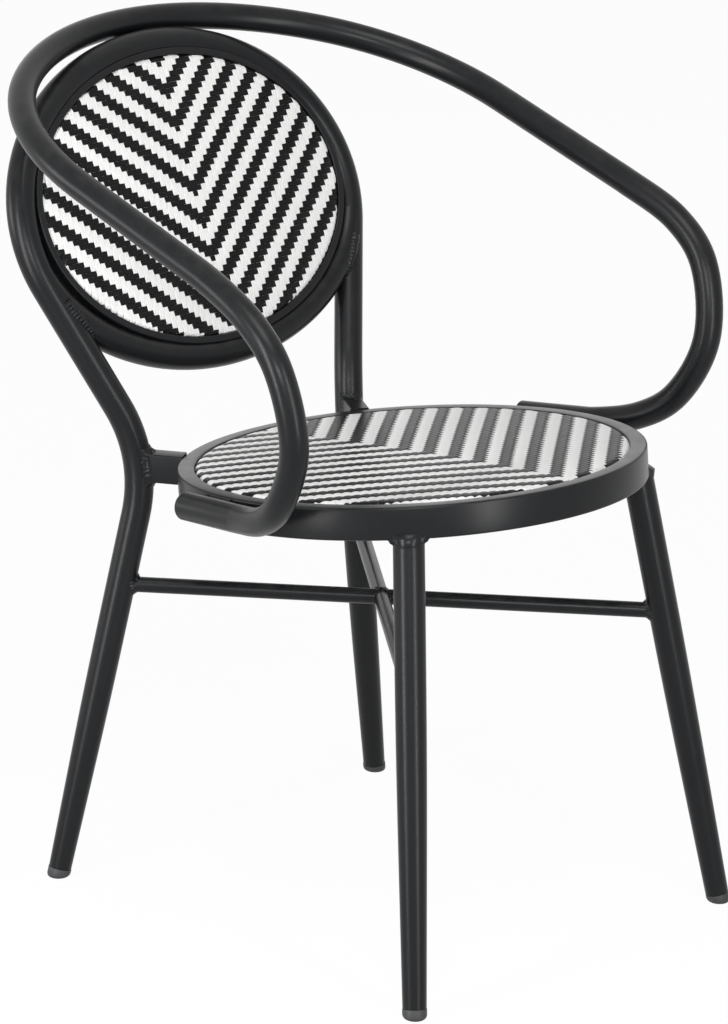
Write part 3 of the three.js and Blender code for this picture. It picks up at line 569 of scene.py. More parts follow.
def moulded(name, colours, rough):
    """Moulded plastic: a fine matt grain and faint flow marks."""
    material, nodes = new_material(name)
    place = object_place(nodes)
    flow = nodes.noise(nodes.scaled(place, FLOW_SCALES), detail=4)
    grit = nodes.noise(place, GRIT_SCALE)
    return finished(
        material,
        nodes,
        Base_Color=nodes.mix(flow, *colours),
        Roughness=rough + flow * FLOW_ROUGHNESS + grit * GRIT_ROUGHNESS,
        Normal=nodes.bump(grit, GRIT_DEPTH),
    )


def bright_metal():
    """Zinc-plated screw heads, with fine marks and dull patches."""
    material, nodes = new_material("screw_zinc")
    patches = nodes.noise(object_place(nodes), ZINC_PATCH_SCALE, detail=4)
    return finished(
        material,
        nodes,
        Base_Color=nodes.mix(patches, *ZINC_COLOURS),
        Roughness=ZINC_ROUGHNESS + patches * ZINC_PATCH_ROUGHNESS,
        Metallic=1.0,
        Normal=nodes.bump(patches, GRIT_DEPTH),
    )


POWDER_COAT = powder_coat()
WELD_COAT = weld_coat()
LIGHT_CANE = cane("light_cane", LIGHT_CANE_COLOURS, LIGHT_CANE_ROUGHNESS, LIGHT_CANE_SHINE)
DARK_CANE = cane("dark_cane", DARK_CANE_COLOURS, DARK_CANE_ROUGHNESS, DARK_CANE_SHINE)
CAP_PLASTIC = moulded("cap_plastic", CAP_COLOURS, CAP_ROUGHNESS)
FOOT_PLASTIC = moulded("foot_plastic", FOOT_COLOURS, FOOT_ROUGHNESS)
SCREW_ZINC = bright_metal()


# The frame gives the seat ring's centre, and the floor point below it is where the places start.
ring_low, ring_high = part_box("seat_ring")
SEAT_UP = Vector((0, sin(SEAT_TILT), cos(SEAT_TILT)))
SEAT_CENTRE = (ring_low + ring_high) / 2 + SEAT_UP * (RING_HEIGHT / 2)
START = Vector((0, SEAT_CENTRE.y, 0))


def on_seat(x, y, z):
    """A place on the seat's plane: x, the way back along it, and the height above the ring's top."""
    return SEAT_CENTRE + Vector((x, y * cos(SEAT_TILT), -y * sin(SEAT_TILT))) + SEAT_UP * z


BACK_UP = Vector((0, sin(BACK_TILT), cos(BACK_TILT)))
BACK_OUT = Vector((0, -cos(BACK_TILT), sin(BACK_TILT)))
BACK_PLACE = START + Vector((0, RING_RADIUS + BACK_PLANE_SETBACK, BACK_PLANE_HEIGHT))


def on_back(x, h, n):
    """A place on the back's plane: x, the way up along it, and the distance out of it to the front."""
    return BACK_PLACE + Vector((x, 0, 0)) + BACK_UP * h + BACK_OUT * n


def mirrored(point):
    return Vector((-point.x, point.y, point.z))


def stepped(first, last, step):
    count = ceil(abs(last - first) / step - ROUNDING_SHARE)
    return [first + (last - first) * i / count for i in range(count + 1)]


def rounded_corner(before, corner, after, radius):
    """The arc that rounds a corner of a path."""
    to_before = (before - corner).normalized()
    to_after = (after - corner).normalized()
    turn = pi - to_before.angle(to_after)
    centre = corner + (to_before + to_after).normalized() * (radius / cos(turn / 2))
    arm = corner + to_before * (radius * tan(turn / 2)) - centre
    axis = to_before.cross(arm).normalized()
    return [centre + Quaternion(axis, angle) @ arm for angle in stepped(0, turn, BEND_STEP)]


def smooth_curve(through, steps):
    """A centripetal Catmull-Rom curve, from the second place to the last but one."""
    points = []
    for i in range(1, len(through) - 2):
        four = through[i - 1 : i + 3]
        gaps = [sqrt((b - a).length) for a, b in zip(four, four[1:])]
        out = tangent(*four[:3], *gaps[:2])
        back = tangent(*four[1:], *gaps[1:])
        for k in range(steps):
            points.append(hermite(four[1], four[2], out * gaps[1], back * gaps[1], k / steps))
    return points + [through[-2]]


def tangent(before, at, after, gap_before, gap_after):
    return (
        (at - before) / gap_before
        - (after - before) / (gap_before + gap_after)
        + (after - at) / gap_after
    )


def hermite(start, end, out, back, t):
    bend = 2 * start - 2 * end + out + back
    lean = -3 * start + 3 * end - 2 * out - back
    return start + out * t + lean * t**2 + bend * t**3


def sections_along(path, first_side):
    """Each place of a path with two directions square to it that turn as little as they can."""
    side = first_side.copy()
    for i, point in enumerate(path):
        forward = (path[min(i + 1, len(path) - 1)] - path[max(i - 1, 0)]).normalized()
        side = (side - forward * side.dot(forward)).normalized()
        yield point, side, forward.cross(side)


def circle(point, side, cross, radius, sides):
    turns = [2 * pi * j / sides for j in range(sides)]
    return [point + side * (radius * cos(t)) + cross * (radius * sin(t)) for t in turns]


def at_height(start, up, height):
    """A place on a slanting line at a height above the floor."""
    return start + up * ((height - start.z) / up.z)


def slid_to(plane_place, normal, place, way):
    """A place moved along a direction until it lies on a plane."""
    return place + way * ((plane_place - place).dot(normal) / way.dot(normal))


def square_to(way):
    """A level direction and an upward one that are square to a direction."""
    side = UP.cross(way).normalized()
    return side, way.cross(side)


def through_bar(start, way, bar_place, bar_way, radius):
    """How far along a line a round bar's near side and its far side lie."""
    offset = start - bar_place
    a = way - bar_way * way.dot(bar_way)
    b = offset - bar_way * offset.dot(bar_way)
    half = a.dot(b) / a.dot(a)
    root = sqrt(max(half * half - (b.dot(b) - radius * radius) / a.dot(a), 0))
    return -half - root, -half + root


def loft(rings, closed=False):
    """The points and faces of a skin over rings that have the same number of points."""
    sides = len(rings[0])
    points = [point for ring in rings for point in ring]
    faces = []
    for i in range(len(rings) if closed else len(rings) - 1):
        a = i * sides
        b = (i + 1) % len(rings) * sides
        for j in range(sides):
            k = (j + 1) % sides
            faces.append((a + j, a + k, b + k, b + j))
    if not closed:
        faces.append(tuple(range(sides)))
        faces.append(tuple(range(len(points) - sides, len(points))))
    return points, faces


def round_bar(path, radius, sides=TUBE_SIDES, first_side=X_WAY):
    """A round bar along a path. The radius is a length, or a function of the place."""
    size = radius if callable(radius) else lambda point: radius
    return loft([circle(*each, size(each[0]), sides) for each in sections_along(path, first_side)])


def oval_point(place, oval, turn, outset, height):
    """A point beside an oval's edge: the outset is square to the edge."""
    width, depth, centre = oval
    nx = cos(turn) * depth
    ny = sin(turn) * width
    length = hypot(nx, ny)
    x = width * cos(turn) + outset * nx / length
    y = centre + depth * sin(turn) + outset * ny / length
    return place(x, y, height)


def rounded_section(outer, inner, top, bottom, edge):
    """A rectangle with round corners, as outsets and heights."""
    corners = ((outer, top, 0), (inner, top, 90), (inner, bottom, 180), (outer, bottom, 270))
    section = []
    for x, y, start in corners:
        middle_x = x - edge if x == outer else x + edge
        middle_y = y - edge if y == top else y + edge
        for k in range(EDGE_STEPS + 1):
            turn = radians(start + 90 * k / EDGE_STEPS)
            section.append((middle_x + edge * cos(turn), middle_y + edge * sin(turn)))
    return section


def oval_bar(place, oval, section):
    rings = []
    for i in range(RING_STEPS):
        turn = 2 * pi * i / RING_STEPS
        rings.append([oval_point(place, oval, turn, x, y) for x, y in section])
    return loft(rings, True)


def turned_body(profile, sides):
    """A body turned from a profile of radius and height. Its first and last radius are zero."""
    points = [Vector((0, 0, profile[0][1]))]
    for radius, height in profile[1:-1]:
        points.extend(circle(UP * height, X_WAY, Y_WAY, radius, sides))
    points.append(Vector((0, 0, profile[-1][1])))
    faces = []
    for j in range(sides):
        k = (j + 1) % sides
        faces.append((0, 1 + k, 1 + j))
        for i in range(len(profile) - 3):
            a = 1 + i * sides
            faces.append((a + j, a + k, a + sides + k, a + sides + j))
        end = 1 + (len(profile) - 3) * sides
        faces.append((end + j, end + k, len(points) - 1))
    return points, faces


def placed(body, place, up):
    """A body set at a place with its Z along a direction."""
    points, faces = body
    turn = up.to_track_quat("Z", "Y")
    return [place + turn @ point for point in points], faces


def arc_profile(x, y, radius, first, last):
    """Places on an arc of a profile round a middle, from one angle to another in degrees."""
    turns = [radians(first + (last - first) * i / ARC_STEPS) for i in range(ARC_STEPS + 1)]
    return [(x + radius * cos(turn), y + radius * sin(turn)) for turn in turns]


def cleaned(mesh, same_point):
    """A mesh with its doubled points joined and its faces turned out."""
    shape = bmesh.new()
    shape.from_mesh(mesh)
    bmesh.ops.remove_doubles(shape, verts=shape.verts, dist=same_point)
    bmesh.ops.recalc_face_normals(shape, faces=shape.faces)
    shape.to_mesh(mesh)
    shape.free()
    return mesh


def mesh_of(points, faces):
    mesh = bpy.data.meshes.new("made")
    mesh.from_pydata([tuple(point) for point in points], [], faces)
    return cleaned(mesh, SAME_POINT)


def piece(name, mesh, material, slot, *nodes, sharp=SHARP_ANGLE):
    """Makes a mesh a piece of the chair that stands for CAD nodes."""
    mesh.name = name
    mesh.materials.clear()
    mesh.materials.append(material)
    mesh.shade_smooth()
    mesh.set_sharp_from_angle(angle=sharp)
    made = added(name, mesh)
    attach(made, "root")
    if nodes:
        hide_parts(*nodes)


def fine(node, body, material=POWDER_COAT, slot="frame"):
    """The piece that stands for one CAD node and is named after it."""
    piece(node + "_fine", mesh_of(*body), material, slot, node)


# What is made for the +X side, the sitter's left, is mirrored for the right.
SIDES = {"left": Vector, "right": mirrored}


def on_both_sides(node, *lines):
    """Each side's number, the name of its CAD node, and the lines on that side."""
    for number, (side, turn) in enumerate(SIDES.items()):
        yield number, node + side, [[turn(place) for place in line] for line in lines]


# Back frame: the foot, the leg's straight, the bend, the upright and the hoop's half on the +X side.
def hoop_point(turn):
    return on_back(HOOP_HALF_WIDTH * cos(turn), HOOP_CENTRE + HOOP_HALF_HEIGHT * sin(turn), 0)


UPRIGHT_TOP = hoop_point(-UPRIGHT_TURN)
UPRIGHT_LEAN = HOOP_HALF_WIDTH * tan(UPRIGHT_TURN) / HOOP_HALF_HEIGHT
UPRIGHT_TOP_HEIGHT = HOOP_CENTRE - HOOP_HALF_HEIGHT * sin(UPRIGHT_TURN)
UPRIGHT_FOOT_X = HOOP_HALF_WIDTH * cos(UPRIGHT_TURN) - UPRIGHT_LEAN * (
    UPRIGHT_TOP_HEIGHT - UPRIGHT_FOOT_HEIGHT
)
UPRIGHT_FOOT = on_back(UPRIGHT_FOOT_X, UPRIGHT_FOOT_HEIGHT, 0)
REAR_FOOT = START + Vector((REAR_FOOT_X, RING_RADIUS + REAR_FOOT_SETBACK, 0))
REAR_UP = (UPRIGHT_FOOT - REAR_FOOT).normalized()


def tapered_radius(height, foot_end, full, taper_top):
    """The radius of a leg that is drawn in towards its foot, with a soft start to the taper."""
    share = max(height - FOOT_HEIGHT, 0) / (taper_top - FOOT_HEIGHT)
    soft = share / (1 + share**TAPER_POWER) ** (1 / TAPER_POWER)
    return foot_end + (full - foot_end) * soft


REAR_END = at_height(REAR_FOOT, REAR_UP, FOOT_HEIGHT)
REAR_BEND = rounded_corner(REAR_END, UPRIGHT_FOOT, UPRIGHT_TOP, REAR_BEND_RADIUS)
HOOP_HALF = [hoop_point(turn) for turn in stepped(-UPRIGHT_TURN, pi / 2, BEND_STEP)]
REAR_STRAIGHT = [REAR_END.lerp(REAR_BEND[0], share) for share in TAPER_SHARES]
BACK_HALF = [*REAR_STRAIGHT, *REAR_BEND, *HOOP_HALF]
BACK_PATH = BACK_HALF + [mirrored(point) for point in BACK_HALF[-2::-1]]


def back_tube_radius(point):
    return tapered_radius(point.z, REAR_FOOT_RADIUS, TUBE_RADIUS, REAR_TAPER_TOP)


def make_back_frame():
    fine("back_frame_tube", round_bar(BACK_PATH, back_tube_radius))
    turns = stepped(ARC_START, pi - ARC_START, BEND_STEP)
    path = [
        on_back(ARC_HALF_WIDTH * cos(turn), HOOP_CENTRE - ARC_HALF_HEIGHT * sin(turn), 0)
        for turn in turns
    ]
    fine("back_lower_arc", round_bar(path, TUBE_RADIUS))
    oval = (RIM_HALF_WIDTH, RIM_HALF_HEIGHT, RIM_CENTRE)
    section = rounded_section(0, -RIM_WIDTH, RIM_FRONT, RIM_REAR, RIM_EDGE)
    fine("back_panel_rim", oval_bar(on_back, oval, section))


def make_seat_ring():
    section = rounded_section(0, -RING_WIDTH, 0, -RING_HEIGHT, RING_EDGE)
    fine("seat_ring", oval_bar(on_seat, (RING_RADIUS, RING_RADIUS, 0), section))


# Front legs, on the +X side.
FRONT_FOOT = START + Vector((FRONT_FOOT_X, FRONT_FOOT_Y, 0))
FRONT_TOP = on_seat(FRONT_TOP_X, FRONT_TOP_Y, -RING_HEIGHT)
FRONT_UP = (FRONT_TOP - FRONT_FOOT).normalized()
FRONT_END = at_height(FRONT_FOOT, FRONT_UP, FOOT_HEIGHT)


def front_leg_radius(height):
    return tapered_radius(height, FRONT_FOOT_RADIUS, FRONT_TOP_RADIUS, FRONT_TAPER_TOP)


def make_front_legs():
    under = on_seat(0, 0, -RING_HEIGHT - PIECE_GAP)
    half = [FRONT_END.lerp(FRONT_TOP, share) for share in (*TAPER_SHARES, 1)]
    for _, node, (path,) in on_both_sides("front_leg_", half):
        axis = (path[-1] - path[0]).normalized()
        rings = [
            circle(*each, front_leg_radius(each[0].z), TUBE_SIDES)
            for each in sections_along(path, X_WAY)
        ]
        rings[-1] = [slid_to(under, SEAT_UP, place, axis) for place in rings[-1]]
        fine(node, loft(rings))


def foot_body(foot, up):
    """A foot plug: level circles up its leg's axis, with a round edge at the sole, and a square top."""
    sole = [(0, FOOT_RADIUS - FOOT_EDGE_RADIUS)]
    for turn in stepped(0, pi / 2, FOOT_EDGE_STEP)[1:]:
        height = FOOT_EDGE_RADIUS * (1 - cos(turn))
        sole.append((height, FOOT_RADIUS - FOOT_EDGE_RADIUS * (1 - sin(turn))))
    rings = []
    for height, radius in sole:
        rings.append(circle(at_height(foot, up, height), X_WAY, Y_WAY, radius, TUBE_SIDES))
    top = at_height(foot, up, FOOT_HEIGHT) - up * PIECE_GAP
    collar = ((FOOT_TOP_EDGE, 0), (FOOT_TOP_EDGE / 4, FOOT_TOP_EDGE / 4), (0, FOOT_TOP_EDGE), (0, FOOT_NECK))
    for down, inwards in collar:
        share = 1 - inwards / FOOT_RADIUS
        ring = []
        for point in rings[len(sole) - 1]:
            out = point - at_height(foot, up, FOOT_EDGE_RADIUS)
            start = at_height(foot, up, FOOT_EDGE_RADIUS) + out * share
            ring.append(start + up * ((top - start).dot(up) - down))
        rings.append(ring)
    return loft(rings)


def make_feet():
    for name, foot, up in (("front", FRONT_FOOT, FRONT_UP), ("rear", REAR_FOOT, REAR_UP)):
        for side, turn in SIDES.items():
            node = name + "_foot_" + side
            plug = mesh_of(*foot_body(turn(foot), turn(up)))
            piece(node + "_plug", plug, FOOT_PLASTIC, "foot", node)


# The arm tube's path, on the +X side.
HOOP_TOP = hoop_point(pi / 2)


def on_arm_plane(x, v):
    place = HOOP_TOP + Vector((0, ARM_SETBACK, ARM_RISE))
    return place + Vector((x, -v * cos(ARM_SLOPE), -v * sin(ARM_SLOPE)))


def beside_ring(out, further, height):
    """A place beside the seat ring, where the arm's tail runs straight past it."""
    x = out * cos(ARM_TAIL_TURN) - further * sin(ARM_TAIL_TURN)
    y = out * sin(ARM_TAIL_TURN) + further * cos(ARM_TAIL_TURN)
    return on_seat(x, y, height)


def arm_half():
    back = ARM_BACK_RADIUS
    side = ARM_SIDE_RADIUS
    upper = [
        on_arm_plane(back * sin(turn), back * (1 - cos(turn)))
        for turn in stepped(0, ARM_BACK_TURN, BEND_STEP)
    ]
    for turn in stepped(ARM_BACK_TURN, pi / 2 - ARM_RUN_TOE, BEND_STEP)[1:]:
        x = (back - side) * sin(ARM_BACK_TURN) + side * sin(turn)
        v = back - (back - side) * cos(ARM_BACK_TURN) - side * cos(turn)
        upper.append(on_arm_plane(x, v))
    level = cos(ARM_RUN_TOE)
    run = Vector((sin(ARM_RUN_TOE), -level * cos(ARM_SLOPE), -level * sin(ARM_SLOPE)))
    run_end = upper[-1] + run * ARM_RUN
    first = beside_ring(ARM_TAIL_OUT, -ARM_TAIL_LEAD, -ARM_TAIL_DEPTH)
    last = beside_ring(ARM_TAIL_OUT, ARM_TAIL_REACH, -ARM_TAIL_DEPTH)
    width = first.x - run_end.x
    drop = first.z - run_end.z
    bend = [
        run_end + Vector((inwards * width, -forwards * ARM_NOSE_REACH, down * drop))
        for inwards, forwards, down in ARM_BEND_SHARES
    ]
    middle_run = upper[-1].lerp(run_end, 0.5)
    middle_tail = first.lerp(last, 0.5)
    through = [middle_run, run_end, *bend, first, middle_tail]
    return upper + smooth_curve(through, ARM_BEND_STEPS) + [last]


ARM_TAIL_OUT = RING_RADIUS + ARM_RADIUS + 2 * PIECE_GAP
ARM_HALF = arm_half()


def make_arm():
    path = [mirrored(point) for point in ARM_HALF[:0:-1]] + ARM_HALF
    fine("arm_tube", round_bar(path, ARM_RADIUS))
    outer_share, inner_share = ARM_CAP_ROUND_SHARES
    low = ARM_CAP_THICKNESS - ARM_CAP_CROWN
    stub_radius = ARM_RADIUS - ARM_CAP_STUB_INSET
    profile = [(0, -ARM_CAP_STUB), (stub_radius, -ARM_CAP_STUB), (ARM_RADIUS - ARM_CAP_STUB_INSET / 2, 0)]
    profile += [(ARM_RADIUS, ARM_CAP_LIP)]
    profile += arc_profile(ARM_RADIUS - ARM_CAP_EDGE, low, ARM_CAP_EDGE, 0, 80)
    profile += [(ARM_RADIUS * outer_share, ARM_CAP_THICKNESS - ARM_CAP_LIP)]
    profile += [(ARM_RADIUS * inner_share, ARM_CAP_THICKNESS), (0, ARM_CAP_THICKNESS)]
    way = (ARM_HALF[-1] - ARM_HALF[-2]).normalized()
    for side, turn in SIDES.items():
        cap = placed(turned_body(profile, CAP_SIDES), turn(ARM_HALF[-1]), turn(way))
        fine("arm_cap_" + side, cap, CAP_PLASTIC, "cap")


# Stretchers: one rod runs through, and two half rods meet it at the crossing.
FRONT_JOINT = at_height(FRONT_FOOT, FRONT_UP, ROD_HEIGHT)
REAR_JOINT = at_height(REAR_FOOT, REAR_UP, ROD_HEIGHT)
LONG_FROM = mirrored(FRONT_JOINT)
LONG_TO = REAR_JOINT
CROSSING = LONG_FROM.lerp(LONG_TO, FRONT_JOINT.x / (FRONT_JOINT.x + REAR_JOINT.x))
HALF_TO = mirrored(REAR_JOINT)


def make_stretchers():
    rods = (
        ("stretcher_long", LONG_FROM, LONG_TO),
        ("stretcher_front_half", FRONT_JOINT, CROSSING),
        ("stretcher_rear_half", HALF_TO, CROSSING),
    )
    for name, start, end in rods:
        way = (end - start).normalized()
        first = start + way * (TUBE_RADIUS / 2)
        last = end if end == CROSSING else end - way * (TUBE_RADIUS / 2)
        path = [first.lerp(last, share) for share in ROD_SHARES]
        fine(name, round_bar(path, ROD_RADIUS, ROD_SIDES, UP))


# Brackets between the seat ring and the rear legs' bends, on the +X side: level bars whose height
# follows from the ring's top where the two meet.
def rear_leg_at(height):
    i = next(i for i, point in enumerate(BACK_HALF) if point.z > height)
    share = (height - BACK_HALF[i - 1].z) / (BACK_HALF[i].z - BACK_HALF[i - 1].z)
    way = (BACK_HALF[i] - BACK_HALF[i - 1]).normalized()
    return BACK_HALF[i - 1].lerp(BACK_HALF[i], share), way


def bracket_place():
    towards = rear_leg_at(SEAT_HEIGHT)[0] - START
    turn = atan2(towards.y, towards.x)
    joint = on_seat(RING_RADIUS * cos(turn), RING_RADIUS * sin(turn), 0)
    leg, way = rear_leg_at(joint.z + BRACKET_RISE - BRACKET_HEIGHT / 2)
    return START + Vector((0, 0, leg.z)), leg, way


BRACKET_CENTRE, BRACKET_LEG, BRACKET_LEG_WAY = bracket_place()
BRACKET_OUT = (BRACKET_LEG - BRACKET_CENTRE).normalized()
BRACKET_SIDE = UP.cross(BRACKET_OUT)


def bracket_section(edge, wider=0, higher=0):
    half_width = BRACKET_WIDTH / 2 + wider
    half_height = BRACKET_HEIGHT / 2 + higher
    section = rounded_section(half_width, -half_width, half_height, -half_height, edge)
    return [BRACKET_CENTRE + BRACKET_SIDE * x + UP * z for x, z in section]


def to_ring(start):
    """How far along a bracket from its centre line's start the seat ring's outer face lies."""
    return through_bar(start, BRACKET_OUT, SEAT_CENTRE, SEAT_UP, RING_RADIUS)[1]


def to_leg(start):
    return through_bar(start, BRACKET_OUT, BRACKET_LEG, BRACKET_LEG_WAY, TUBE_RADIUS)[0]


def make_brackets():
    section = bracket_section(BRACKET_EDGE)
    ends = [(to_ring(start) - PIECE_GAP, to_leg(start) + RING_EDGE) for start in section]
    half = []
    for share in BRACKET_SHARES:
        distances = [near + (far - near) * share for near, far in ends]
        half.append([p + BRACKET_OUT * d for p, d in zip(section, distances)])
    for _, node, rings in on_both_sides("rear_bracket_", *half):
        fine(node, loft(rings))


def weld_tree():
    """A bead along a line of edges, with the overlapping ripples of hand welding."""
    grown = Grown("weld_bead", [], ["radius", "ripple", "depth", "step", "seed"])
    sizes = grown.inputs
    line = grown.node("GeometryNodeMeshToCurve", {"Mesh": sizes.geometry})
    steps = {"Curve": line, "Length": sizes.step}
    stepped_line = grown.node("GeometryNodeResampleCurve", steps, mode="LENGTH")
    way = grown.node("GeometryNodeSplineParameter", output=1)
    marked = grown.store(stepped_line, "way", way)
    waver = grown.noise(grown.vector(way, sizes.seed, 0), BEAD_WAVER_SCALE)
    sides = {"Resolution": BEAD_SIDES, "Radius": 1.0}
    ring = grown.node("GeometryNodeCurvePrimitiveCircle", sides)
    scale = sizes.radius * (BEAD_LEAST_SHARE + waver * BEAD_WAVER_SHARE)
    swept = {"Curve": marked, "Profile Curve": ring, "Scale": scale, "Fill Caps": True}
    bead = grown.node("GeometryNodeCurveToMesh", swept)
    place = grown.node("GeometryNodeInputPosition")
    uneven = grown.noise(place, RIPPLE_WAVER_SCALE)
    phase = (grown.named("way") / sizes.ripple + uneven * RIPPLE_WAVER_SHARE).fraction()
    lift = (1 - phase * phase) * sizes.depth + (uneven - 0.5) * sizes.depth
    normal = grown.node("GeometryNodeInputNormal")
    offset = grown.node("ShaderNodeVectorMath", {0: normal, "Scale": lift}, operation="SCALE")
    shaped = grown.node("GeometryNodeSetPosition", {"Geometry": bead, "Offset": offset})
    grown.end(grown.drop(shaped, "way"))
    return grown


def weld(name, path, radius, *nodes, closed=True, seed=0, ripple=RIPPLE_LENGTH, depth=RIPPLE_DEPTH):
    """A bead of weld along a line of places."""
    lines = bpy.data.meshes.new("weld_line")
    count = len(path)
    edges = [(i, (i + 1) % count) for i in range(count if closed else count - 1)]
    lines.from_pydata([tuple(point) for point in path], edges, [])
    sizes = dict(radius=radius, ripple=ripple, depth=depth, step=ripple / RIPPLE_STATIONS)
    bead = WELD_TREE.grow(lines, seed=float(seed), material=WELD_COAT, **sizes)
    bead = cleaned(bead, SAME_WELD_POINT)
    piece(name, bead, WELD_COAT, "frame", *nodes, sharp=WELD_SHARP_ANGLE)


def fillet(name, wide, corner, narrow, *nodes, seed=0, ripple=SEAM_RIPPLE, depth=SEAM_DEPTH):
    """A weld that fills a corner: the closed lines where it ends on either side, and the corner's own."""
    gaps = [(place - corner[i - 1]).length for i, place in enumerate(corner)]
    ripples = round(sum(gaps) / ripple)
    sections = []
    for i, (first, root, last) in enumerate(zip(wide, corner, narrow)):
        out = ((first + last) / 2 - root).normalized()
        along = sum(gaps[: i + 1]) / sum(gaps) * ripples
        section = []
        for share in FILLET_SHARES:
            place = first * (1 - share) ** 2 + root * (2 * share * (1 - share)) + last * share**2
            uneven = noise.noise(place * FILLET_GRAIN + Vector((seed, 0, 0)))
            curl = (2 * share - 1) ** 2 * FILLET_CURL_SHARE
            phase = (along + curl + uneven * FILLET_WAVER_SHARE) % 1
            lift = (1 - phase**2 + uneven) * depth * 4 * share * (1 - share)
            section.append(place + out * (lift - FILLET_SINK))
        sections.append([*section, root - out * FILLET_ROOT])
    mesh = mesh_of(*loft(sections, closed=True))
    piece(name, mesh, WELD_COAT, "frame", *nodes, sharp=WELD_SHARP_ANGLE)


def rod_loop(start, end, rod_radius, bar, steps):
    """The closed line where a rod from a place runs into a round bar: its place, way and radius."""
    way = (end - start).normalized()
    places = circle(start, *square_to(way), rod_radius, steps)
    return [place + way * through_bar(place, way, *bar)[0] for place in places]


def make_rod_welds():
    front = front_leg_radius(ROD_HEIGHT)
    rear = back_tube_radius(REAR_JOINT)
    joints = (
        ("weld_stretcher_front_right", LONG_TO, LONG_FROM, mirrored(FRONT_UP), front),
        ("weld_stretcher_front_left", HALF_TO, FRONT_JOINT, FRONT_UP, front),
        ("weld_stretcher_rear_left", LONG_FROM, LONG_TO, REAR_UP, rear),
        ("weld_stretcher_rear_right", FRONT_JOINT, HALF_TO, mirrored(REAR_UP), rear),
    )
    for i, (name, start, end, leg_way, radius) in enumerate(joints):
        leg = (end, leg_way, radius)
        wide = rod_loop(start, end, ROD_RADIUS + ROD_FILLET_FLARE, leg, ROD_FILLET_STEPS)
        corner = rod_loop(start, end, ROD_RADIUS, leg, ROD_FILLET_STEPS)
        back = (start - end).normalized() * ROD_FILLET_REACH
        narrow = [point + back for point in corner]
        fillet(name + "_fillet", wide, corner, narrow, name, seed=i)
    rod = (LONG_FROM, (LONG_TO - LONG_FROM).normalized(), ROD_RADIUS)
    for side, start in (("front", FRONT_JOINT), ("rear", HALF_TO)):
        loop = rod_loop(start, CROSSING, ROD_RADIUS, rod, CROSSING_STEPS)
        weld("weld_crossing_" + side, loop, CROSSING_BEAD, "weld_crossing", seed=len(side))


def make_leg_top_welds():
    """The weld round a front leg's top, which climbs a little up the ring's faces."""
    steps = round(2 * pi * FRONT_TOP_RADIUS / FILLET_STEP)
    under = on_seat(0, 0, -RING_HEIGHT)

    def below_ring(outset):
        places = circle(FRONT_TOP, *square_to(FRONT_UP), FRONT_TOP_RADIUS + outset, steps)
        return [slid_to(under, SEAT_UP, place, FRONT_UP) for place in places]

    wide = [held_to_ring(place, True) for place in below_ring(LEG_FILLET_FLARE)]
    corner = [held_to_ring(place, False) for place in below_ring(LEG_FILLET_OUTSET)]
    narrow = [place - FRONT_UP * LEG_FILLET_REACH for place in below_ring(0)]
    sizes = dict(ripple=RIPPLE_LENGTH, depth=LEG_FILLET_DEPTH)
    for number, node, lines in on_both_sides("weld_front_leg_", wide, corner, narrow):
        fillet(node + "_fillet", *lines, node, seed=LEG_FILLET_SEED + number, **sizes)


def held_to_ring(place, on_face):
    """A weld's place raised beside the seat ring, and drawn in to its inner or outer face."""
    offset = place - SEAT_CENTRE
    level = offset - SEAT_UP * offset.dot(SEAT_UP)
    outside = max(level.length - RING_RADIUS, 0)
    inside = max(RING_RADIUS - RING_WIDTH - level.length, 0)
    if on_face:
        place = place - level.normalized() * (outside - inside)
    climb = LEG_FILLET_CLIMB_SHARES[0 if on_face else 1]
    return place + SEAT_UP * ((outside + inside) * climb)


def make_bracket_welds():
    """The weld round a bracket's outline on its leg."""
    section = bracket_section(BRACKET_EDGE)
    flared = bracket_section(BRACKET_EDGE, BRACKET_FILLET_FLARE, BRACKET_FILLET_RISE)
    wide = []
    corner = []
    for i, start in enumerate(section):
        end = section[i - 1]
        count = max(1, round((end - start).length / FILLET_STEP))
        for k in range(count):
            outer = flared[i].lerp(flared[i - 1], k / count)
            inner = start.lerp(end, k / count)
            wide.append(outer + BRACKET_OUT * to_leg(outer))
            corner.append(inner + BRACKET_OUT * to_leg(inner))
    narrow = [place - BRACKET_OUT * BRACKET_FILLET_REACH for place in corner]
    for number, node, lines in on_both_sides("weld_bracket_", wide, corner, narrow):
        fillet(node + "_fillet", *lines, node, seed=number)


def make_arc_welds():
    """The weld in the groove where the lower arc leaves an upright: down the front and up the rear."""
    groove = []
    crotch = None
    for turn in stepped(SEAM_START, SEAM_END, SEAM_STEP):
        height = HOOP_CENTRE - ARC_HALF_HEIGHT * sin(turn)
        arc_x = ARC_HALF_WIDTH * cos(turn)
        upright_x = HOOP_HALF_WIDTH * cos(UPRIGHT_TURN) - UPRIGHT_LEAN * (UPRIGHT_TOP_HEIGHT - height)
        share = (upright_x - arc_x) * cos(atan(UPRIGHT_LEAN)) / 2 / TUBE_RADIUS
        if share < 1:
            out = TUBE_RADIUS * sqrt(1 - share * share) - SEAM_BEAD * SEAM_SINK_SHARE * (1 - share)
            groove.append(((arc_x + upright_x) / 2, height, out))
            crotch = ((arc_x + upright_x) / 2, height)
    front = [on_back(x, height, out) for x, height, out in groove]
    rear = [on_back(x, height, -out) for x, height, out in reversed(groove)]
    path = [*front, on_back(*crotch, 0), *rear]
    sizes = dict(closed=False, ripple=SEAM_RIPPLE, depth=SEAM_DEPTH)
    for number, node, (seam,) in on_both_sides("weld_lower_arc_", path):
        weld(node + "_bead", seam, SEAM_BEAD, node, seed=number, **sizes)


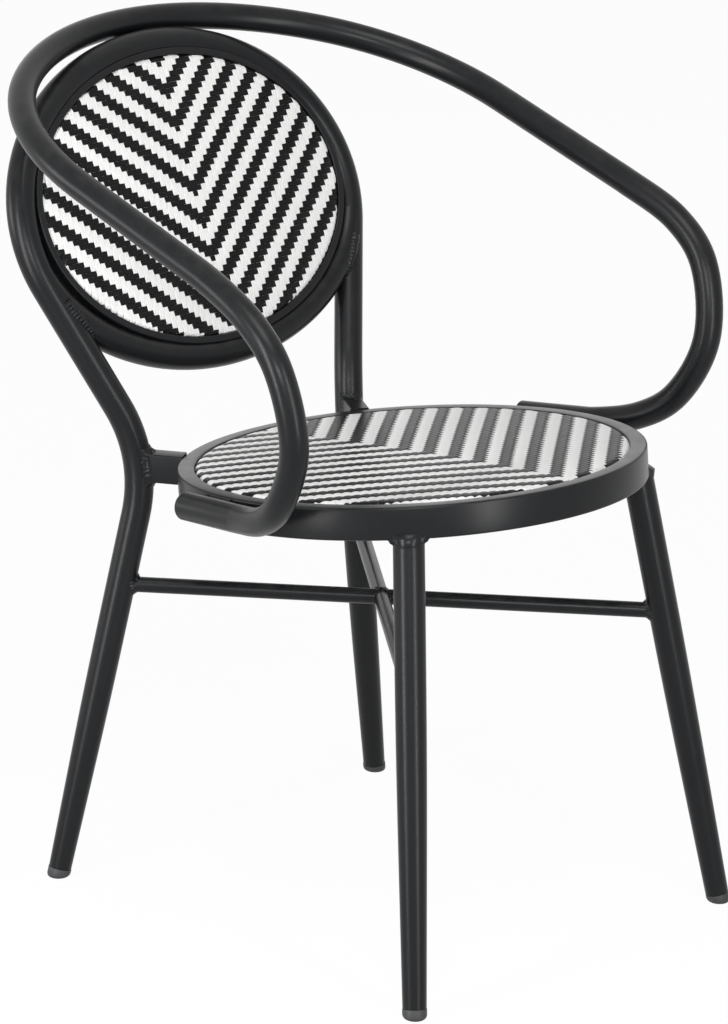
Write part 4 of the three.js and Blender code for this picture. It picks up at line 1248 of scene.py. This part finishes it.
def make_arm_welds():
    """The welds between the arm tube and the seat ring, and between the arm tube and the hoop."""
    height = -ARM_TAIL_DEPTH + ARM_BEAD + ARM_BEAD_OFFSET
    along = stepped(-ARM_WELD_LENGTH / 2, ARM_WELD_LENGTH / 2, RIPPLE_LENGTH)
    ring = [beside_ring(RING_RADIUS + PIECE_GAP, further, height) for further in along]
    for number, node, (seam,) in on_both_sides("weld_arm_ring_", ring):
        weld(node + "_bead", seam, ARM_BEAD, node, closed=False, seed=number)
    arm_top = on_arm_plane(0, 0)
    across = (arm_top - HOOP_TOP).normalized()
    down = X_WAY.cross(across)
    middle = HOOP_TOP.lerp(arm_top, 0.5) - down * (ARM_BEAD_OFFSET + ARM_BEAD)
    across = stepped(-HOOP_WELD_LENGTH / 2, HOOP_WELD_LENGTH / 2, RIPPLE_LENGTH)
    seam = [middle + Vector((x, 0, 0)) for x in across]
    weld("weld_arm_hoop_bead", seam, ARM_BEAD, "weld_arm_hoop", closed=False, seed=5)


# Woven panels.
STRAND_COUNTS = ["strands", "stations", "sides"]
STRAND_MEASURES = ["first", "column", "row", "column_x", "row_y", "width", "thickness"]
STRAND_MEASURES += ["half_width", "half_height", "crown", "round", "skirt", "lip"]


def strand_tree(name, columns):
    """Strands of flat cane over an oval. Columns lie two to a cell, and rows one to a cell. Each goes
    over three cells and under three, a cell further on in each column away from the middle one, and
    wraps round the panel's hoop at both ends."""
    grown = Grown(name, STRAND_COUNTS, STRAND_MEASURES)
    sizes = grown.inputs
    sides = {"Vertices": sizes.sides, "Side Segments": sizes.stations, "Radius": 1.0, "Depth": 1.0}
    stick = grown.node("GeometryNodeMeshCylinder", sides)
    place = grown.node("GeometryNodeInputPosition")
    stick = grown.store(stick, "section", place, "FLOAT_VECTOR")
    points = grown.node("GeometryNodeMeshLine", {"Count": sizes.strands})
    points = grown.store(points, "strand", grown.node("GeometryNodeInputIndex"))
    strands = grown.node("GeometryNodeInstanceOnPoints", {"Points": points, "Instance": stick})
    strands = grown.node("GeometryNodeRealizeInstances", {"Geometry": strands})
    strand = grown.named("strand")
    across, lift, along = grown.named("section", "FLOAT_VECTOR").xyz()
    across = across.sign() * across.size() ** STRAND_SIDE_POWER
    lift = lift.sign() * lift.size() ** STRAND_FACE_POWER
    station = (along + 0.5) * sizes.stations
    from_middle = station / CELL_STATIONS - (sizes.stations / (2 * CELL_STATIONS)).floored()
    cells_along = STATION_START_SHARE + from_middle
    beside = across * sizes.width / 2

    # The wrapped length past the place where the panel starts to turn down.
    corner = sizes.round * (pi / 2)
    drop = sizes.skirt - 2 * sizes.round
    wrap = corner + drop + corner + sizes.lip - sizes.round
    reach_x = sizes.half_width - sizes.round + wrap
    reach_y = sizes.half_height - sizes.round + wrap
    if columns:
        column = (strand / 2).floored() + sizes.first
        side = strand - (strand / 2).floored() * 2 - 0.5
        centre = sizes.column_x + (column + side * LIGHT_PITCH_SHARE) * sizes.column
        row = cells_along
        end = reach_y * (1 - (centre / reach_x) ** 2).most(0).root()
        cell = row + column.size()
        over = 1
    else:
        row = strand + sizes.first
        centre = sizes.row_y - (row + 0.5) * sizes.row
        column = cells_along
        end = reach_x * (1 - (centre / reach_y) ** 2).most(0).root()
        cell = row + column.size() + 0.5
        over = -1
    wave = (cell * (2 * pi / WAVE_CELLS)).sine()
    flat_wave = (wave * WAVE_STEEPNESS).within(-1, 1) + wave * WAVE_SWELL_SHARE
    height = over * flat_wave * sizes.thickness * WAVE_HEIGHT_SHARE + lift * (sizes.thickness / 2)
    if columns:
        x = centre + beside
        y = (sizes.row_y - row * sizes.row).within(-end, end)
    else:
        x = (sizes.column_x + column * sizes.column).within(-end, end)
        y = centre + beside
    grain = grown.vector(across * sizes.width, y if columns else x, strand)

    # The nearest place on the oval's edge, step by step, and the distance out of it.
    edge_x, edge_y = x, y
    outset = 0
    for step in range(EDGE_SEARCH_STEPS):
        share_x = edge_x / sizes.half_width
        share_y = edge_y / sizes.half_height
        share = (share_x * share_x + share_y * share_y).root().most(LEAST_SHARE)
        slope_x = share_x / sizes.half_width
        slope_y = share_y / sizes.half_height
        slope = (slope_x * slope_x + slope_y * slope_y).root().most(LEAST_SHARE)
        if step == 0:
            crown = sizes.crown * (1 - share * share).most(0)
        normal_x = slope_x / slope
        normal_y = slope_y / slope
        gap = (share - 1) * share / slope
        outset = gap + outset
        edge_x = edge_x - normal_x * gap
        edge_y = edge_y - normal_y * gap
    way = outset + sizes.round
    first = way.within(0, corner)
    second = (way - corner).within(0, drop)
    third = (way - corner - drop).within(0, corner)
    last = (way - corner - drop - corner).most(0)
    turn = (first + third) / sizes.round
    reach = sizes.round + height
    out = way.least(0) - sizes.round - last + reach * turn.sine()
    up = reach * turn.cosine() - sizes.round - second + crown
    wrapped = way.above(0)
    new_x = x + (edge_x + normal_x * out - x) * wrapped
    new_y = y + (edge_y + normal_y * out - y) * wrapped
    woven = grown.store(strands, "grain", grain, "FLOAT_VECTOR")
    woven = grown.place(woven, grown.vector(new_x, new_y, up))
    merged = {"Geometry": woven, "Distance": STRAND_MERGE}
    woven = grown.node("GeometryNodeMergeByDistance", merged)
    woven = grown.drop(grown.drop(woven, "section"), "strand")
    grown.end(woven)
    return grown


def weave(name, place, centre, top, **sizes):
    """One woven panel: its light columns in two halves, and its dark rows."""
    column, row, column_x, row_y = (sizes[key] for key in ("column", "row", "column_x", "row_y"))
    wrap = sizes["skirt"] + WEAVE_LIP
    reach_x = sizes["half_width"] + wrap
    reach_y = sizes["half_height"] + wrap
    origin = place(0, centre, top)
    axes = [place(1, centre, top) - origin, place(0, centre + 1, top) - origin]
    axes.append(place(0, centre, top + 1) - origin)
    matrix = Matrix([[axis[i] for axis in axes] + [origin[i]] for i in range(3)] + [[0, 0, 0, 1]])
    empty = bpy.data.meshes.new("empty")
    shared = dict(sizes, lip=WEAVE_LIP, thickness=CANE_THICKNESS)

    def strands(part, tree, material, count, first, cells, **section):
        counts = dict(strands=count, first=float(first), stations=2 * CELL_STATIONS * ceil(cells))
        mesh = tree.grow(empty, material=material, **counts, **section, **shared)
        mesh.transform(matrix)
        piece(name + part, mesh, material, "weave", name)

    first = floor((-reach_x - column_x) / column) + 1
    last = floor((reach_x - column_x) / column)
    cells = (reach_y + abs(row_y)) / row
    section = dict(sides=LIGHT_SIDES, width=column * LIGHT_WIDTH_SHARE)
    strands("_light_right", LIGHT_TREE, LIGHT_CANE, -2 * first, first, cells, **section)
    strands("_light_left", LIGHT_TREE, LIGHT_CANE, 2 * (last + 1), 0, cells, **section)
    first = floor((row_y - reach_y) / row) + 1
    last = floor((row_y + reach_y) / row) - 1
    cells = (reach_x + abs(column_x)) / column
    section = dict(sides=DARK_SIDES, width=row * DARK_WIDTH_SHARE)
    strands("_dark", DARK_TREE, DARK_CANE, last - first + 1, first, cells, **section)


def make_weaves():
    inner = RING_RADIUS - RING_WIDTH - WEAVE_RIM_GAP
    weave(
        "seat_weave",
        on_seat,
        0,
        SEAT_WEAVE_RISE - SEAT_WEAVE_DROP - STRAND_INSET,
        column=SEAT_COLUMN,
        row=SEAT_ROW,
        column_x=SEAT_FIRST_COLUMN_X,
        row_y=SEAT_FIRST_ROW_Y,
        half_width=inner,
        half_height=inner,
        crown=SEAT_WEAVE_CROWN,
        round=SEAT_WEAVE_ROUND,
        skirt=WEAVE_SKIRT + SEAT_WEAVE_RISE,
    )
    weave(
        "back_weave",
        on_back,
        RIM_CENTRE,
        RIM_FRONT - BACK_WEAVE_DROP - STRAND_INSET,
        column=BACK_COLUMN,
        row=BACK_ROW,
        column_x=BACK_FIRST_COLUMN_X,
        row_y=BACK_FIRST_ROW_Y,
        half_width=RIM_HALF_WIDTH - RIM_WIDTH - WEAVE_RIM_GAP,
        half_height=RIM_HALF_HEIGHT - RIM_WIDTH - WEAVE_RIM_GAP,
        crown=BACK_WEAVE_CROWN,
        round=WEAVE_ROUND,
        skirt=WEAVE_SKIRT,
    )


def make_weave_hoops():
    """The hoops inside the woven rims, and the tabs with their screws that carry them."""
    outer = -WEAVE_SKIN - PIECE_GAP
    seat = RING_RADIUS - RING_WIDTH
    seat_inside = (seat, seat, 0)
    back_inside = (RIM_HALF_WIDTH - RIM_WIDTH, RIM_HALF_HEIGHT - RIM_WIDTH, RIM_CENTRE)
    panels = (
        ("seat", on_seat, seat_inside, -SEAT_WEAVE_DROP),
        ("back", on_back, back_inside, RIM_FRONT - BACK_WEAVE_DROP),
    )
    for name, place, inside, top in panels:
        width, depth, centre = inside
        oval = (width - WEAVE_RIM_GAP, depth - WEAVE_RIM_GAP, centre)
        section = rounded_section(
            outer,
            outer - WEAVE_HOOP_WIDTH,
            top - WEAVE_SKIN - PIECE_GAP,
            top - WEAVE_SKIRT + WEAVE_SKIN + PIECE_GAP,
            WEAVE_HOOP_EDGE,
        )
        fine(name + "_weave_hoop", oval_bar(place, oval, section), slot="hidden_metal")
        tab_top = top - WEAVE_SKIRT - PIECE_GAP
        for i in range(4):
            make_tab(name, i + 1, place, inside, pi / 4 + i * pi / 2, tab_top)


def make_tab(panel, number, place, inside, turn, top):
    edge = oval_point(place, inside, turn, 0, top)
    out = (edge - oval_point(place, inside, turn, -TAB_REACH, top)).normalized()
    up = (oval_point(place, inside, turn, 0, top + TAB_REACH) - edge).normalized()
    side = up.cross(out)
    section = rounded_section(TAB_WIDTH / 2, -TAB_WIDTH / 2, 0, -TAB_THICKNESS, TAB_EDGE)
    rings = []
    for distance in (-TAB_REACH - 2 * PIECE_GAP, 0):
        middle = edge + out * distance
        rings.append([middle + side * x + up * z for x, z in section])
    fine(panel + "_tab_" + str(number), loft(rings), slot="hidden_metal")
    profile = [(0, 0), (SCREW_HEAD_RADIUS, 0), (SCREW_HEAD_RADIUS, SCREW_HEAD_RIM)]
    round_middle = SCREW_HEAD_RADIUS - SCREW_HEAD_ROUND
    profile += arc_profile(round_middle, SCREW_HEAD_RIM, SCREW_HEAD_ROUND, 10, 80)
    profile += [(SCREW_SOCKET_RADIUS, SCREW_HEAD_TOP)]
    profile += [(SCREW_SOCKET_RADIUS - SCREW_SOCKET_TAPER, SCREW_SOCKET_FLOOR)]
    profile += [(0, SCREW_SOCKET_FLOOR - SCREW_SOCKET_HOLLOW)]
    middle = edge - out * (TAB_REACH * SCREW_PLACE_SHARE) - up * TAB_THICKNESS
    head = placed(turned_body(profile, SCREW_SIDES), middle, -up)
    piece(panel + "_tab_screw_" + str(number), mesh_of(*head), SCREW_ZINC, "hidden_metal")


def seen_rays(nodes):
    """1 for the rays that show the background: the camera's own, reflected and transmitted ones."""
    kinds = [nodes.node("ShaderNodeLightPath", output=output) for output in (0, 3, 6)]
    return (kinds[0] + kinds[1] + kinds[2]).least(1)


def make_floor():
    """A plain pale floor, of the same white as the world behind it, that keeps the chair's shadow."""
    material, nodes = new_material("studio_white")
    paper = nodes.node("ShaderNodeBsdfDiffuse", {"Color": PAPER_WHITE})
    glow = nodes.node("ShaderNodeEmission", {"Color": WHITE, "Strength": 1.0})
    mixed = nodes.node("ShaderNodeMixShader", {0: seen_rays(nodes) * GLOW_SHARE, 1: paper, 2: glow})
    nodes.node("ShaderNodeOutputMaterial", {"Surface": mixed})
    mesh = bpy.data.meshes.new("studio_floor")
    corners = [(x * FLOOR_REACH, y * FLOOR_REACH, 0) for x, y in ((-1, -1), (1, -1), (1, 1), (-1, 1))]
    mesh.from_pydata(corners, [], [(0, 1, 2, 3)])
    mesh.materials.append(material)
    added("studio_floor", mesh)


def make_world():
    world = bpy.data.worlds.new("studio")
    bpy.context.scene.world = world
    world.use_nodes = True
    world.node_tree.nodes.clear()
    nodes = Nodes(world.node_tree)
    strength = seen_rays(nodes) * (1 - WORLD_LIGHT) + WORLD_LIGHT
    sky = nodes.node("ShaderNodeBackground", {"Color": WHITE, "Strength": strength})
    nodes.node("ShaderNodeOutputWorld", {"Surface": sky})


def make_lamp(name, place, width, height, power):
    lamp = bpy.data.lights.new(name, "AREA")
    lamp.shape = "RECTANGLE"
    lamp.size = width
    lamp.size_y = height
    lamp.energy = power
    made = added(name, lamp)
    made.location = place
    made.rotation_mode = "QUATERNION"
    way = Vector(LAMP_TARGET) - Vector(place)
    made.rotation_quaternion = way.to_track_quat("-Z", "Y")
    made.visible_camera = False


def make_lamps():
    for name, lamp in LAMPS.items():
        make_lamp(name, *lamp)


def make_camera():
    yaw, pitch, roll = CAMERA_YAW, CAMERA_PITCH, CAMERA_ROLL
    ahead = Vector((sin(yaw) * cos(pitch), cos(yaw) * cos(pitch), -sin(pitch)))
    level_right = Vector((cos(yaw), -sin(yaw), 0))
    level_up = level_right.cross(ahead)
    right = level_right * cos(roll) + level_up * sin(roll)
    up = level_up * cos(roll) - level_right * sin(roll)
    camera = bpy.data.cameras.new("camera")
    camera.sensor_fit = "VERTICAL"
    camera.sensor_height = CAMERA_SENSOR
    camera.lens = CAMERA_LENS
    camera.clip_end = CAMERA_CLIP
    made = added("camera", camera)
    aim = START + level_right * CAMERA_AIM_RIGHT + Vector((0, 0, CAMERA_AIM_HEIGHT))
    turn = Matrix((right, up, -ahead)).transposed().to_4x4()
    made.matrix_world = Matrix.Translation(aim - ahead * CAMERA_DISTANCE) @ turn
    bpy.context.scene.camera = made


WELD_TREE = weld_tree()
LIGHT_TREE = strand_tree("light_columns", True)
DARK_TREE = strand_tree("dark_rows", False)

make_camera()
make_back_frame()
make_seat_ring()
make_front_legs()
make_feet()
make_arm()
make_stretchers()
make_brackets()
make_rod_welds()
make_leg_top_welds()
make_bracket_welds()
make_arc_welds()
make_arm_welds()
make_weaves()
make_weave_hoops()
make_floor()
make_world()
make_lamps()

bpy.context.scene.view_settings.view_transform = "Standard"
